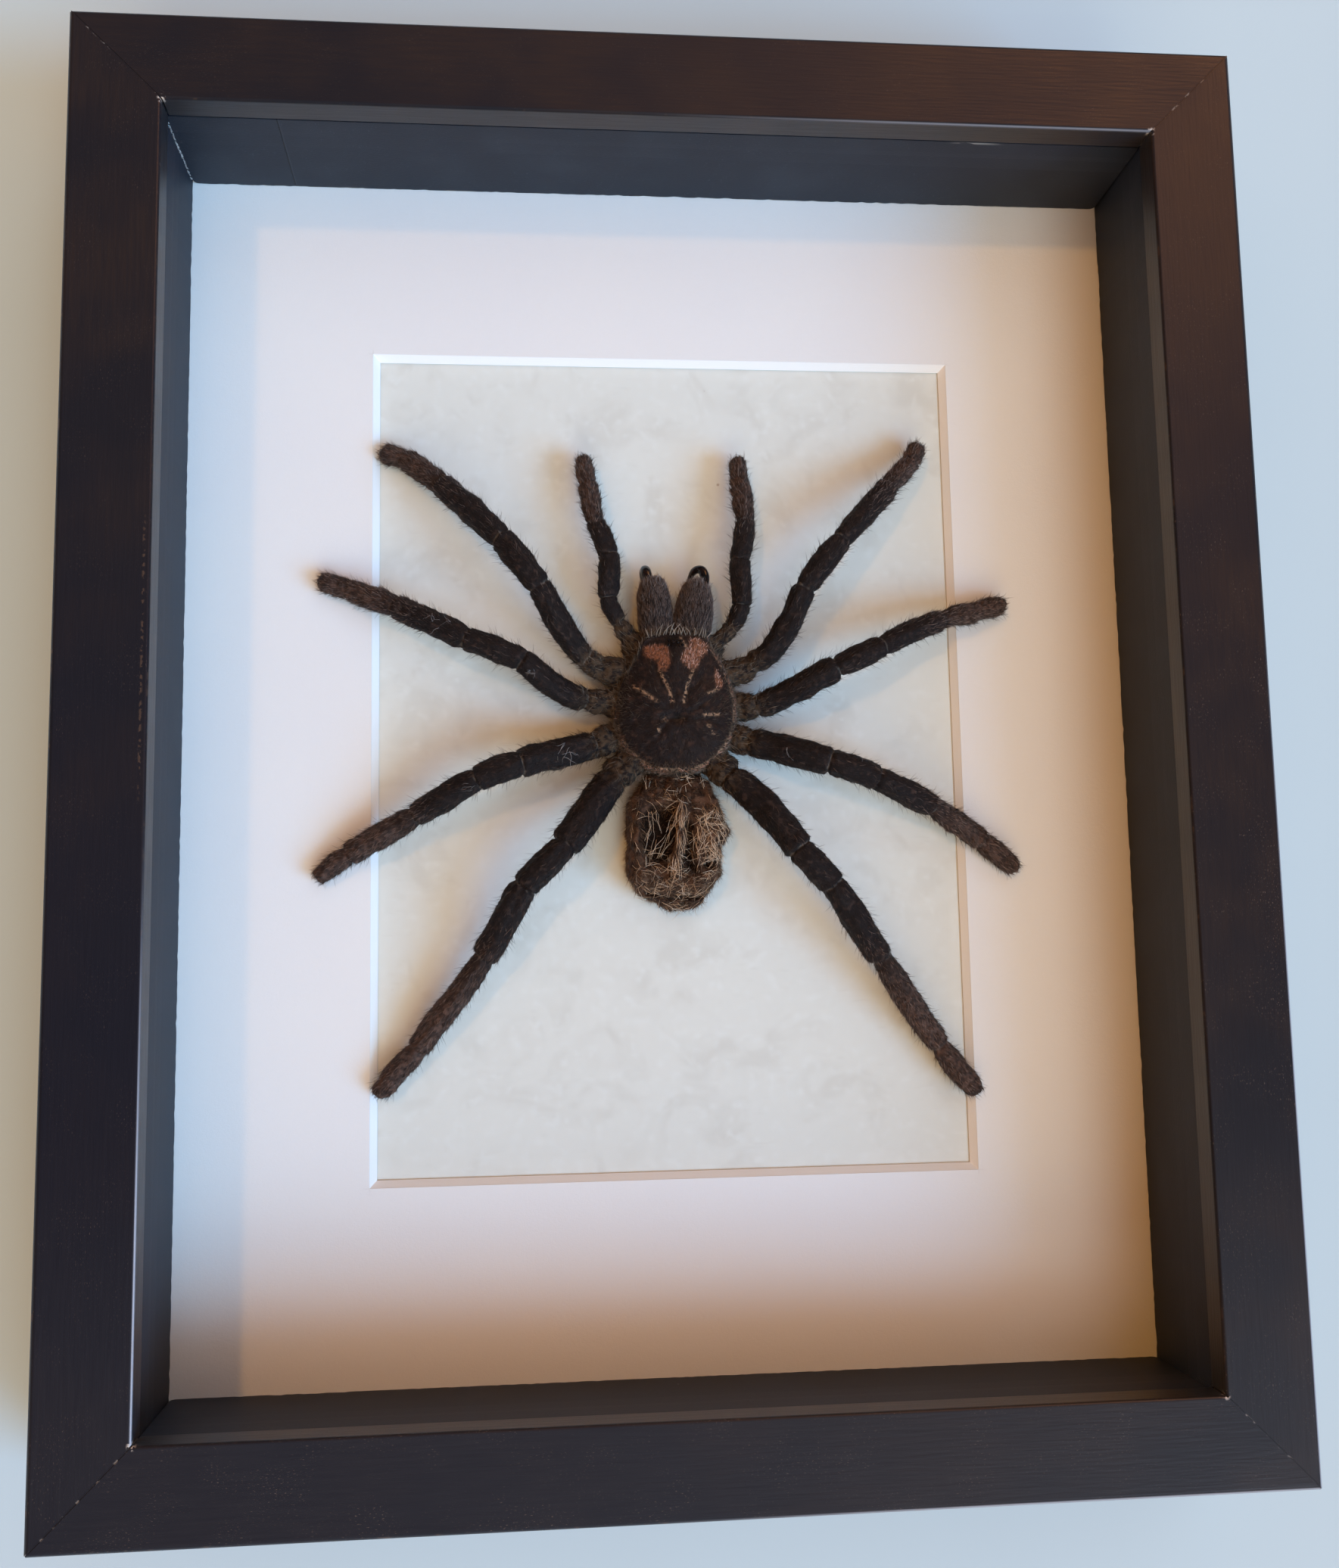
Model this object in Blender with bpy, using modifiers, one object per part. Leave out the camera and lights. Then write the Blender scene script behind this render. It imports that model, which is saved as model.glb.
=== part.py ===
"""Framed tarantula specimen.

A dried tarantula lies spread on mottled paper behind a white mat, in a deep box frame that lies on
its back.  Units are metres.  +Z points out of the glass, +X to the right of the picture and +Y to its
top.  The origin is the centre of the frame's back.

The frame is worked out from the sheet that it holds.  The specimen's places are given in millimetres:
x and y in the plane of the picture, and lift above the paper that it is glued to.
"""

import math
from dataclasses import dataclass

import bmesh
import bpy
from mathutils import Vector

MM = 0.001
GAP = 0.3 * MM

# ---- Driving dimensions of the frame -------------------------------------------------------------
SHEET_WIDTH = 203.2 * MM
SHEET_HEIGHT = 254.0 * MM
SHEET_PLAY = 0.4 * MM
FRAME_BORDER = 13.4 * MM
FRAME_DEPTH = 45.0 * MM
FACE_WIDTH = 17.5 * MM
LIP_THICKNESS = 6.0 * MM
OUTER_ARRIS = 1.1 * MM
INNER_ARRIS = 0.6 * MM
ARC_STEPS = 4

GLASS_THICKNESS = 2.0 * MM
MAT_DEPTH = 35.0 * MM
MAT_THICKNESS = 1.4 * MM
WINDOW_WIDTH = 124.0 * MM
WINDOW_HEIGHT = 173.0 * MM
WINDOW_SHIFT_X = 1.1 * MM
WINDOW_SHIFT_Y = 0.8 * MM
PAPER_THICKNESS = 0.4 * MM
BOARD_THICKNESS = 2.5 * MM
SPACER_THICKNESS = 2.9 * MM
SPACER_CORNER = 1.4 * MM

TAB_WIDTH = 8.0 * MM
TAB_THICKNESS = 0.6 * MM
TAB_BURIED = 5.0 * MM
TAB_SHOWING = 9.0 * MM
TAB_CORNER = 2.0 * MM
TAB_PLACES = (-0.27, 0.27)

HANGER_LENGTH = 44.0 * MM
HANGER_WIDTH = 5.6 * MM
HANGER_THICKNESS = 0.8 * MM
HANGER_INSET = 2.4 * MM
HANGER_DEPTH = 1.0 * MM
HANGER_TEETH = 12
TOOTH_PITCH = 2.0 * MM
TOOTH_DEPTH = 1.2 * MM
POCKET_PLAY = 0.5 * MM
NAIL_OFFSET = 18.0 * MM
NAIL_RADIUS = 0.6 * MM
NAIL_HEAD_RADIUS = 1.7 * MM
NAIL_HEAD = 0.5 * MM
NAIL_LENGTH = 9.0 * MM
HOOK_ROOM = 4.6 * MM
HOOK_LENGTH = 30.0 * MM

# ---- Worked out from them ------------------------------------------------------------------------
FRAME_WIDTH = SHEET_WIDTH + 2 * FRAME_BORDER
FRAME_HEIGHT = SHEET_HEIGHT + 2 * FRAME_BORDER
WALL_THICKNESS = FRAME_BORDER - SHEET_PLAY
MITRE_SETBACK = GAP / math.sqrt(2)
GLASS_TOP = FRAME_DEPTH - LIP_THICKNESS - GAP
GLASS_BOTTOM = GLASS_TOP - GLASS_THICKNESS
MAT_TOP = FRAME_DEPTH - MAT_DEPTH
MAT_BOTTOM = MAT_TOP - MAT_THICKNESS
PAPER_TOP = MAT_BOTTOM - GAP
PAPER_BOTTOM = PAPER_TOP - PAPER_THICKNESS
BOARD_TOP = PAPER_BOTTOM - GAP
BOARD_BOTTOM = BOARD_TOP - BOARD_THICKNESS
TAB_TOP = BOARD_BOTTOM - GAP
TAB_BOTTOM = TAB_TOP - TAB_THICKNESS

# ---- Specimen, in millimetres --------------------------------------------------------------------
BODY_X = 1.2
CARAPACE_Y = 10.8
CARAPACE_HALF_LENGTH = 14.1
CARAPACE_HALF_WIDTH = 12.5
CARAPACE_SQUARENESS = 2.6
CARAPACE_RIM = 7.6
CARAPACE_TOP = 12.8
CARAPACE_UNDER = 3.4
HEAD_Y = 19.0
HEAD_RISE = 1.3
FOVEA_Y = 7.3
FOVEA_DEPTH = 1.1
GROOVE_PAIRS = 4
GROOVE_DEPTH = 0.35
TUBERCLE_Y = 22.0
COXA_ROOT_LIFT = 4.4
COXA_ROOT_RADIUS = 3.6
ABDOMEN_X = 0.9
ABDOMEN_FRONT = -5.6
ABDOMEN_REAR = -31.3
ABDOMEN_HALF_WIDTH = 9.8
SEGMENT_FRACTIONS = (0.14, 0.5, 0.86)
SEGMENT_SWELL = (0.98, 1.04, 0.98)
JOINT_NECK = 0.84
TIP_TAPER = (0.98, 0.98, 0.72)
TIP_END = 0.36
LEG_SIDES = 10
PALP_SIDES = 8


@dataclass(frozen=True)
class Finish:
    """Colour, roughness and metallic value of one piece."""

    colour: tuple
    roughness: float
    metallic: float = 0.0


STAINED_WOOD = Finish((0.020, 0.014, 0.013), 0.38)
CLEAR_GLASS = Finish((0.90, 0.94, 0.93), 0.03)
WRAPPED_BOARD = Finish((0.012, 0.014, 0.020), 0.70)
MAT_BOARD = Finish((0.82, 0.81, 0.80), 0.85)
MOTTLED_PAPER = Finish((0.66, 0.62, 0.56), 0.85)
HARDBOARD = Finish((0.19, 0.10, 0.05), 0.75)
STEEL = Finish((0.55, 0.56, 0.58), 0.35, 1.0)
CARAPACE_FINISH = Finish((0.030, 0.020, 0.016), 0.60)
ABDOMEN_FINISH = Finish((0.060, 0.035, 0.020), 0.85)
LEG_FINISH = Finish((0.016, 0.013, 0.014), 0.70)
FANG_FINISH = Finish((0.010, 0.008, 0.009), 0.20)


@dataclass(frozen=True)
class Limb:
    """A leg or a palp: its coxa's root, its joints from hip to tip, and each segment's width.

    The bow is how far the femur's middle lies to the right of the line from the hip to the knee,
    looking outwards along the limb.
    """

    name: str
    root: tuple
    joints: tuple
    widths: tuple
    sides: int
    bow: float = 0.0


LIMBS = (
    Limb("leg_1_left", (-4.0, 16.5),
         ((-17.0, 20.5, 7.5), (-26.5, 34.0, 14.0), (-34.0, 44.0, 13.0), (-46.5, 57.0, 8.0),
          (-54.0, 63.5, 3.6), (-59.0, 65.5, 1.9)), (5.1, 5.3, 5.3, 4.7, 4.1), LEG_SIDES),
    Limb("leg_2_left", (-4.5, 12.0),
         ((-17.0, 12.0, 7.0), (-30.0, 19.0, 13.0), (-41.0, 23.5, 12.5), (-55.5, 31.0, 8.5),
          (-65.0, 35.0, 5.2), (-71.5, 37.5, 3.7)), (5.0, 5.0, 5.1, 4.8, 4.4), LEG_SIDES, -0.8),
    Limb("leg_3_left", (-4.5, 7.0),
         ((-15.5, 2.5, 7.0), (-30.5, -2.0, 13.0), (-39.0, -5.0, 12.5), (-51.5, -12.0, 8.5),
          (-65.0, -19.5, 5.2), (-71.5, -24.0, 3.7)), (6.1, 5.5, 5.2, 4.8, 4.2), LEG_SIDES),
    Limb("leg_4_left", (-4.0, 3.0),
         ((-11.5, -4.5, 7.5), (-21.8, -18.7, 14.0), (-29.6, -26.7, 13.0), (-37.8, -40.5, 8.5),
          (-51.5, -58.5, 4.2), (-59.5, -67.5, 3.4)), (6.8, 5.8, 5.8, 4.9, 4.5), LEG_SIDES),
    Limb("leg_1_right", (6.4, 16.5),
         ((17.6, 19.2, 7.5), (28.0, 34.0, 14.0), (36.0, 44.0, 13.5), (47.5, 57.0, 9.0),
          (53.3, 63.5, 5.6), (55.5, 68.0, 4.2)), (5.0, 5.0, 4.7, 4.2, 4.0), LEG_SIDES, 1.3),
    Limb("leg_2_right", (6.9, 12.0),
         ((18.5, 10.5, 7.0), (34.5, 17.5, 13.0), (44.0, 22.0, 12.5), (58.0, 28.5, 8.5),
          (67.0, 31.0, 6.2), (73.0, 33.0, 4.6)), (5.6, 5.0, 4.6, 4.2, 4.2), LEG_SIDES),
    Limb("leg_3_right", (6.9, 7.0),
         ((17.0, 3.0, 7.0), (32.5, -2.0, 13.0), (42.0, -5.5, 12.5), (54.5, -11.0, 8.5),
          (65.5, -18.0, 5.4), (73.5, -24.0, 3.5)), (6.1, 5.5, 5.2, 4.6, 4.5), LEG_SIDES),
    Limb("leg_4_right", (6.4, 3.0),
         ((12.5, -4.5, 7.5), (25.5, -20.0, 14.0), (32.0, -27.0, 13.0), (42.5, -42.0, 9.0),
          (55.0, -60.0, 5.0), (63.0, -70.0, 3.9)), (6.4, 5.8, 5.6, 5.1, 4.8), LEG_SIDES, -1.0),
    Limb("pedipalp_left", (-2.5, 19.0),
         ((-10.0, 28.0, 7.5), (-12.0, 33.0, 8.5), (-12.0, 42.0, 9.0), (-14.5, 49.0, 8.0),
          (-16.0, 58.0, 6.0), (-17.0, 64.5, 4.4)), (3.6, 4.4, 4.2, 4.0, 3.8), PALP_SIDES),
    Limb("pedipalp_right", (4.9, 19.0),
         ((13.5, 27.0, 7.5), (15.5, 31.5, 8.5), (15.5, 41.0, 9.0), (17.0, 49.5, 8.0),
          (16.5, 57.5, 6.0), (16.0, 64.5, 4.4)), (3.6, 4.3, 4.2, 4.2, 4.0), PALP_SIDES),
)

CHELICERAE = {
    "chelicera_left": (((-1.9, 22.5, 8.8), (-2.2, 26.0, 8.8), (-2.5, 30.0, 8.6), (-2.8, 33.5, 8.1),
                        (-3.0, 36.4, 7.5), (-3.1, 37.7, 7.1)), (2.6, 3.3, 3.4, 3.1, 2.4, 1.2)),
    "chelicera_right": (((4.9, 22.5, 8.8), (5.4, 26.0, 8.8), (5.7, 30.0, 8.6), (6.0, 33.5, 8.1),
                         (6.1, 36.4, 7.5), (6.1, 37.8, 7.1)), (2.6, 3.4, 3.8, 3.4, 2.6, 1.3)),
}
FANGS = {
    "fang_left": (((-3.6, 36.4, 7.2), (-4.1, 38.6, 7.0), (-4.5, 39.5, 5.8), (-4.7, 39.2, 4.2),
                   (-4.6, 38.2, 3.0), (-4.3, 37.0, 2.2)), (1.1, 1.1, 1.0, 0.8, 0.55, 0.2)),
    "fang_right": (((7.4, 36.2, 7.2), (7.6, 38.6, 7.0), (6.9, 39.5, 6.0), (5.8, 39.3, 4.4),
                    (5.0, 38.3, 3.2), (4.5, 37.0, 2.4)), (1.1, 1.1, 1.0, 0.8, 0.55, 0.2)),
}
PEDICEL = (((BODY_X, -1.0, 5.5), (BODY_X, -4.0, 5.2), (BODY_X, -8.0, 5.0)), (2.2, 1.7, 1.5))


def clear_scene():
    """Remove every object that the file opened with."""
    for obj in list(bpy.data.objects):
        bpy.data.objects.remove(obj, do_unlink=True)


def new_collection(name):
    """Add a collection to the scene."""
    collection = bpy.data.collections.new(name)
    bpy.context.scene.collection.children.link(collection)
    return collection


def material_for(name, finish):
    """Make one Principled material from a finish."""
    material = bpy.data.materials.new(name)
    material.use_nodes = True
    shader = material.node_tree.nodes["Principled BSDF"]
    shader.inputs["Base Color"].default_value = (*finish.colour, 1.0)
    shader.inputs["Roughness"].default_value = finish.roughness
    shader.inputs["Metallic"].default_value = finish.metallic
    return material


def add_part(name, mesh, finish, smooth_angle=None):
    """Put a mesh in the part's collection under its own name and material."""
    mesh.name = name
    obj = bpy.data.objects.new(name, mesh)
    mesh.materials.append(material_for(name, finish))
    PARTS.objects.link(obj)
    if smooth_angle is not None:
        mesh.shade_smooth()
        mesh.set_sharp_from_angle(angle=math.radians(smooth_angle))
    return obj


def add_cutter(name, mesh):
    """Put a mesh among the cutters, out of the part."""
    obj = bpy.data.objects.new(name, mesh)
    obj.hide_render = True
    obj.display_type = "WIRE"
    CUTTERS.objects.link(obj)
    return obj


def combine(obj, other, operation):
    """Add an exact Boolean with another object."""
    modifier = obj.modifiers.new(f"{operation.lower()} {other.name}", "BOOLEAN")
    modifier.operation = operation
    modifier.object = other
    modifier.solver = "EXACT"


def mesh_from(bm, name):
    """Turn a bmesh into a mesh with its faces pointing out."""
    bmesh.ops.recalc_face_normals(bm, faces=bm.faces)
    mesh = bpy.data.meshes.new(name)
    bm.to_mesh(mesh)
    bm.free()
    return mesh


def box_bmesh(low, high):
    """A box between two corners."""
    bm = bmesh.new()
    bmesh.ops.create_cube(bm, size=1.0)
    low = Vector(low)
    high = Vector(high)
    size = high - low
    centre = (low + high) / 2
    for vert in bm.verts:
        vert.co = Vector(c * s for c, s in zip(vert.co, size)) + centre
    return bm


def box_mesh(name, low, high):
    """A plain box mesh between two corners."""
    return mesh_from(box_bmesh(low, high), name)


def arc(centre, radius, start, end):
    """Points of an arc in a plane, with angles in degrees."""
    points = []
    for step in range(ARC_STEPS + 1):
        angle = math.radians(start + (end - start) * step / ARC_STEPS)
        points.append((centre[0] + radius * math.cos(angle), centre[1] + radius * math.sin(angle)))
    return points


# ---- Frame ---------------------------------------------------------------------------------------

def moulding_section():
    """The moulding's outline as (inset from the outer side, height) points."""
    section = [(0.0, 0.0)]
    section += arc((OUTER_ARRIS, FRAME_DEPTH - OUTER_ARRIS), OUTER_ARRIS, 180, 90)
    section += arc((FACE_WIDTH - INNER_ARRIS, FRAME_DEPTH - INNER_ARRIS), INNER_ARRIS, 90, 0)
    section.append((FACE_WIDTH, FRAME_DEPTH - LIP_THICKNESS))
    section.append((WALL_THICKNESS, FRAME_DEPTH - LIP_THICKNESS))
    section.append((WALL_THICKNESS, 0.0))
    return section


def rail_mesh(name, length):
    """A moulding of the given outer length, mitred at both ends, with its outer side on y = 0."""
    bm = bmesh.new()
    verts = [bm.verts.new((-length / 2, inset, height)) for inset, height in moulding_section()]
    face = bm.faces.new(verts)
    extruded = bmesh.ops.extrude_face_region(bm, geom=[face])
    moved = [item for item in extruded["geom"] if isinstance(item, bmesh.types.BMVert)]
    bmesh.ops.translate(bm, verts=moved, vec=(length, 0.0, 0.0))
    for vert in bm.verts:
        vert.co.x -= math.copysign(vert.co.y + MITRE_SETBACK, vert.co.x)
    return mesh_from(bm, name)


def place_on_side(obj, side):
    """Move an object made along the bottom rail to the rail of another side."""
    turns = {"bottom": 0, "right": 1, "top": 2, "left": 3}[side]
    reach = FRAME_HEIGHT / 2 if turns % 2 == 0 else FRAME_WIDTH / 2
    angle = turns * math.pi / 2
    obj.rotation_euler.z = angle
    obj.location = (reach * math.sin(angle), -reach * math.cos(angle), 0.0)


def tab_mesh(name, centre, play=0.0):
    """A retaining tab, or with play the slot that its buried end sits in."""
    inner = WALL_THICKNESS + (TAB_SHOWING if play == 0.0 else GAP)
    low = (centre - TAB_WIDTH / 2 - play, WALL_THICKNESS - TAB_BURIED - play, TAB_BOTTOM - play)
    high = (centre + TAB_WIDTH / 2 + play, inner, TAB_TOP + play)
    bm = box_bmesh(low, high)
    if play == 0.0:
        corners = [edge for edge in bm.edges
                   if all(abs(vert.co.y - inner) < GAP for vert in edge.verts)
                   and abs(edge.verts[0].co.z - edge.verts[1].co.z) > TAB_THICKNESS / 2]
        bmesh.ops.bevel(bm, geom=corners, offset=TAB_CORNER, segments=3, profile=0.5, affect="EDGES")
    return mesh_from(bm, name)


def build_rails():
    """The four mitred mouldings, with the slots for their retaining tabs."""
    rails = {}
    for side in ("top", "bottom", "left", "right"):
        length = FRAME_WIDTH if side in ("top", "bottom") else FRAME_HEIGHT
        rail = add_part(f"rail_{side}", rail_mesh(f"rail_{side}", length), STAINED_WOOD)
        place_on_side(rail, side)
        for number, place in enumerate(TAB_PLACES, start=1):
            slot = add_cutter(f"tab_slot_{side}_{number}",
                              tab_mesh(f"tab_slot_{side}_{number}", place * length, GAP))
            place_on_side(slot, side)
            combine(rail, slot, "DIFFERENCE")
            tab_name = f"tab_{side}_{number}"
            tab = add_part(tab_name, tab_mesh(tab_name, place * length), STEEL)
            place_on_side(tab, side)
        rails[side] = rail
    return rails


def hanger_mesh():
    """The hanger's flat plate, with teeth along the edge that faces the picture."""
    half = HANGER_LENGTH / 2
    far = HANGER_INSET + HANGER_WIDTH
    outline = [(-half, far), (-half, HANGER_INSET), (half, HANGER_INSET), (half, far)]
    teeth_end = HANGER_TEETH * TOOTH_PITCH / 2
    for tooth in range(HANGER_TEETH):
        start = teeth_end - tooth * TOOTH_PITCH
        outline.append((start, far))
        outline.append((start - TOOTH_PITCH / 2, far - TOOTH_DEPTH))
    outline.append((-teeth_end, far))
    curve = bpy.data.curves.new("hanger outline", "CURVE")
    curve.dimensions = "2D"
    curve.fill_mode = "BOTH"
    curve.extrude = HANGER_THICKNESS / 2
    spline = curve.splines.new("POLY")
    spline.points.add(len(outline) - 1)
    for point, (x, y) in zip(spline.points, outline):
        point.co = (x, y, 0.0, 1.0)
    spline.use_cyclic_u = True
    mesh = mesh_of_curve(curve)
    for vert in mesh.vertices:
        vert.co.z += HANGER_DEPTH + HANGER_THICKNESS / 2
    return mesh


def cylinder_mesh(name, radius, low, high, x, y, segments=16):
    """An upright closed cylinder."""
    bm = bmesh.new()
    bmesh.ops.create_cone(bm, cap_ends=True, segments=segments, radius1=radius, radius2=radius,
                          depth=high - low)
    bmesh.ops.translate(bm, verts=bm.verts, vec=(x, y, (low + high) / 2))
    return mesh_from(bm, name)


def nail_mesh(name, x, y):
    """A nail with a flat head at the back and its point in the wood."""
    head_low = HANGER_DEPTH - GAP - NAIL_HEAD
    profile = ((0.0, NAIL_LENGTH), (NAIL_RADIUS, NAIL_LENGTH - 2 * NAIL_RADIUS),
               (NAIL_RADIUS, head_low + NAIL_HEAD), (NAIL_HEAD_RADIUS, head_low + NAIL_HEAD),
               (NAIL_HEAD_RADIUS, head_low + NAIL_HEAD / 2), (NAIL_HEAD_RADIUS * 0.6, head_low),
               (0.0, head_low))
    bm = bmesh.new()
    verts = [bm.verts.new((radius, 0.0, height)) for radius, height in profile]
    edges = [bm.edges.new(pair) for pair in zip(verts, verts[1:])]
    bmesh.ops.spin(bm, geom=verts + edges, cent=(0, 0, 0), axis=(0, 0, 1), angle=math.tau, steps=12,
                   use_merge=True)
    bmesh.ops.remove_doubles(bm, verts=bm.verts, dist=GAP / 100)
    bmesh.ops.translate(bm, verts=bm.verts, vec=(x, y, 0.0))
    return mesh_from(bm, name)


def build_hanger(top_rail):
    """A sawtooth hanger sunk in the top rail's back, so that the frame still lies flat.

    The room for the wall hook's head runs behind the plate and is open to the recess of the back.
    """
    half = HANGER_LENGTH / 2 + POCKET_PLAY
    seat_top = HANGER_DEPTH + HANGER_THICKNESS + GAP
    seat_end = HANGER_INSET + HANGER_WIDTH + POCKET_PLAY
    seat = add_cutter("hanger_seat", box_mesh("hanger_seat", (-half, HANGER_INSET - POCKET_PLAY, -GAP),
                                              (half, seat_end, seat_top)))
    room = add_cutter("hook_room", box_mesh("hook_room", (-HOOK_LENGTH / 2, HANGER_INSET, -GAP),
                                            (HOOK_LENGTH / 2, WALL_THICKNESS + GAP, HOOK_ROOM)))
    hanger = add_part("hanger_plate", hanger_mesh(), STEEL)
    nail_y = HANGER_INSET + HANGER_WIDTH / 2
    for cutter in (seat, room):
        place_on_side(cutter, "top")
        combine(top_rail, cutter, "DIFFERENCE")
    place_on_side(hanger, "top")
    for side, x in (("left", NAIL_OFFSET), ("right", -NAIL_OFFSET)):
        hole_name = f"nail_hole_{side}"
        hole = add_cutter(hole_name, cylinder_mesh(hole_name, NAIL_RADIUS + GAP, 0.0,
                                                   NAIL_LENGTH + GAP, x, nail_y))
        place_on_side(hole, "top")
        combine(top_rail, hole, "DIFFERENCE")
        combine(hanger, hole, "DIFFERENCE")
        nail = add_part(f"hanger_nail_{side}", nail_mesh(f"hanger_nail_{side}", x, nail_y), STEEL, 30)
        place_on_side(nail, "top")


def sheet_mesh(name, bottom, top):
    """A full-size sheet between two heights."""
    return box_mesh(name, (-SHEET_WIDTH / 2, -SHEET_HEIGHT / 2, bottom),
                    (SHEET_WIDTH / 2, SHEET_HEIGHT / 2, top))


def window_cutter():
    """The window's bevelled plug: 45 degree sides that open towards the glass."""
    overshoot = MAT_THICKNESS
    bm = bmesh.new()
    bmesh.ops.create_cube(bm, size=2.0)
    for vert in bm.verts:
        height = MAT_TOP + overshoot if vert.co.z > 0 else MAT_BOTTOM - overshoot
        spread = height - MAT_TOP
        vert.co = Vector((vert.co.x * (WINDOW_WIDTH / 2 + spread) + WINDOW_SHIFT_X,
                          vert.co.y * (WINDOW_HEIGHT / 2 + spread) + WINDOW_SHIFT_Y, height))
    return add_cutter("window_cutter", mesh_from(bm, "window_cutter"))


def build_sheets():
    """Glass, mat, backing paper and hardboard back."""
    glass = add_part("glass_pane", sheet_mesh("glass_pane", GLASS_BOTTOM, GLASS_TOP), CLEAR_GLASS)
    seam = glass.modifiers.new("seamed edges", "BEVEL")
    seam.width = 0.4 * MM
    seam.segments = 1
    mat = add_part("mat_board", sheet_mesh("mat_board", MAT_BOTTOM, MAT_TOP), MAT_BOARD)
    combine(mat, window_cutter(), "DIFFERENCE")
    add_part("backing_paper", sheet_mesh("backing_paper", PAPER_BOTTOM, PAPER_TOP), MOTTLED_PAPER)
    add_part("back_board", sheet_mesh("back_board", BOARD_BOTTOM, BOARD_TOP), HARDBOARD)


def spacer_mesh(name, low, high, across_x):
    """A spacer strip.  The strips that run along x have their lower end corners rounded off."""
    bm = box_bmesh(low, high)
    if across_x:
        corners = [edge for edge in bm.edges
                   if all(abs(vert.co.z - low[2]) < GAP for vert in edge.verts)
                   and abs(edge.verts[0].co.x - edge.verts[1].co.x) < GAP]
        bmesh.ops.bevel(bm, geom=corners, offset=SPACER_CORNER, segments=4, profile=0.5, affect="EDGES")
    return mesh_from(bm, name)


def build_spacers():
    """Four strips that line the box between the glass and the mat."""
    outer_x = FRAME_WIDTH / 2 - WALL_THICKNESS - GAP
    outer_y = FRAME_HEIGHT / 2 - WALL_THICKNESS - GAP
    inner_x = outer_x - SPACER_THICKNESS
    inner_y = outer_y - SPACER_THICKNESS
    low = MAT_TOP + GAP
    high = GLASS_BOTTOM - GAP
    end = inner_x - GAP
    extents = {
        "spacer_left": ((-outer_x, -outer_y, low), (-inner_x, outer_y, high), False),
        "spacer_right": ((inner_x, -outer_y, low), (outer_x, outer_y, high), False),
        "spacer_top": ((-end, inner_y, low), (end, outer_y, high), True),
        "spacer_bottom": ((-end, -outer_y, low), (end, -inner_y, high), True),
    }
    for name, (corner_low, corner_high, across_x) in extents.items():
        add_part(name, spacer_mesh(name, corner_low, corner_high, across_x), WRAPPED_BOARD)


# ---- Specimen ------------------------------------------------------------------------------------

def above_paper(x, y, lift):
    """A point given in millimetres, at a lift above the backing paper."""
    return Vector((x * MM, y * MM, PAPER_TOP + lift * MM))


def mesh_of_curve(curve):
    """The closed mesh of a curve, with its caps welded on."""
    carrier = bpy.data.objects.new(curve.name, curve)
    CUTTERS.objects.link(carrier)
    bpy.context.view_layer.update()
    evaluated = carrier.evaluated_get(bpy.context.evaluated_depsgraph_get())
    mesh = bpy.data.meshes.new_from_object(evaluated)
    mesh.materials.clear()
    bpy.data.objects.remove(carrier, do_unlink=True)
    bm = bmesh.new()
    bm.from_mesh(mesh)
    bmesh.ops.remove_doubles(bm, verts=bm.verts, dist=GAP / 100)
    bmesh.ops.recalc_face_normals(bm, faces=bm.faces)
    bm.to_mesh(mesh)
    bm.free()
    return mesh


def tube_mesh(name, points, radii, sides):
    """A tube through the points, with a radius in millimetres at each and both ends capped."""
    curve = bpy.data.curves.new(name, "CURVE")
    curve.dimensions = "3D"
    curve.bevel_depth = MM
    curve.bevel_resolution = (sides - 4) // 2
    curve.use_fill_caps = True
    curve.twist_mode = "MINIMUM"
    spline = curve.splines.new("POLY")
    spline.points.add(len(points) - 1)
    for target, point, radius in zip(spline.points, points, radii):
        target.co = (*point, 1.0)
        target.radius = radius
    return mesh_of_curve(curve)


def smooth_route(knots, fractions):
    """Points on a smooth curve through the knots, at each knot and at fractions of each span."""
    spans = [(end - start).length for start, end in zip(knots, knots[1:])]
    slopes = [(knots[1] - knots[0]) / spans[0]]
    for index in range(1, len(knots) - 1):
        slopes.append((knots[index + 1] - knots[index - 1]) / (spans[index - 1] + spans[index]))
    slopes.append((knots[-1] - knots[-2]) / spans[-1])
    route = [knots[0]]
    for index, span in enumerate(spans):
        for part in (*fractions, 1.0):
            square = part * part
            cube = square * part
            route.append(knots[index] * (2 * cube - 3 * square + 1)
                         + slopes[index] * span * (cube - 2 * square + part)
                         + knots[index + 1] * (3 * square - 2 * cube)
                         + slopes[index + 1] * span * (cube - square))
    return route


def limb_radii(widths):
    """Radii along a limb: necks at the joints, swells between them, a taper at the tip."""
    radii = [widths[0] / 2 * JOINT_NECK]
    for index, width in enumerate(widths):
        last = index == len(widths) - 1
        swell = TIP_TAPER if last else SEGMENT_SWELL
        radii += [width / 2 * factor for factor in swell]
        if last:
            radii.append(width / 2 * TIP_END)
        else:
            radii.append(min(width, widths[index + 1]) / 2 * JOINT_NECK)
    return radii


def limb_route(limb):
    """The limb's centre line from its coxa's root to its tip."""
    root = above_paper(*limb.root, COXA_ROOT_LIFT)
    knots = [root] + [above_paper(*joint) for joint in limb.joints]
    route = smooth_route(knots, SEGMENT_FRACTIONS)
    line = knots[2] - knots[1]
    sideways = Vector((line.y, -line.x, 0.0)).normalized() * limb.bow * MM
    first = len(SEGMENT_FRACTIONS) + 1
    for index, part in enumerate(SEGMENT_FRACTIONS, start=first + 1):
        route[index] += sideways * 4 * part * (1 - part)
    return route


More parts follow.
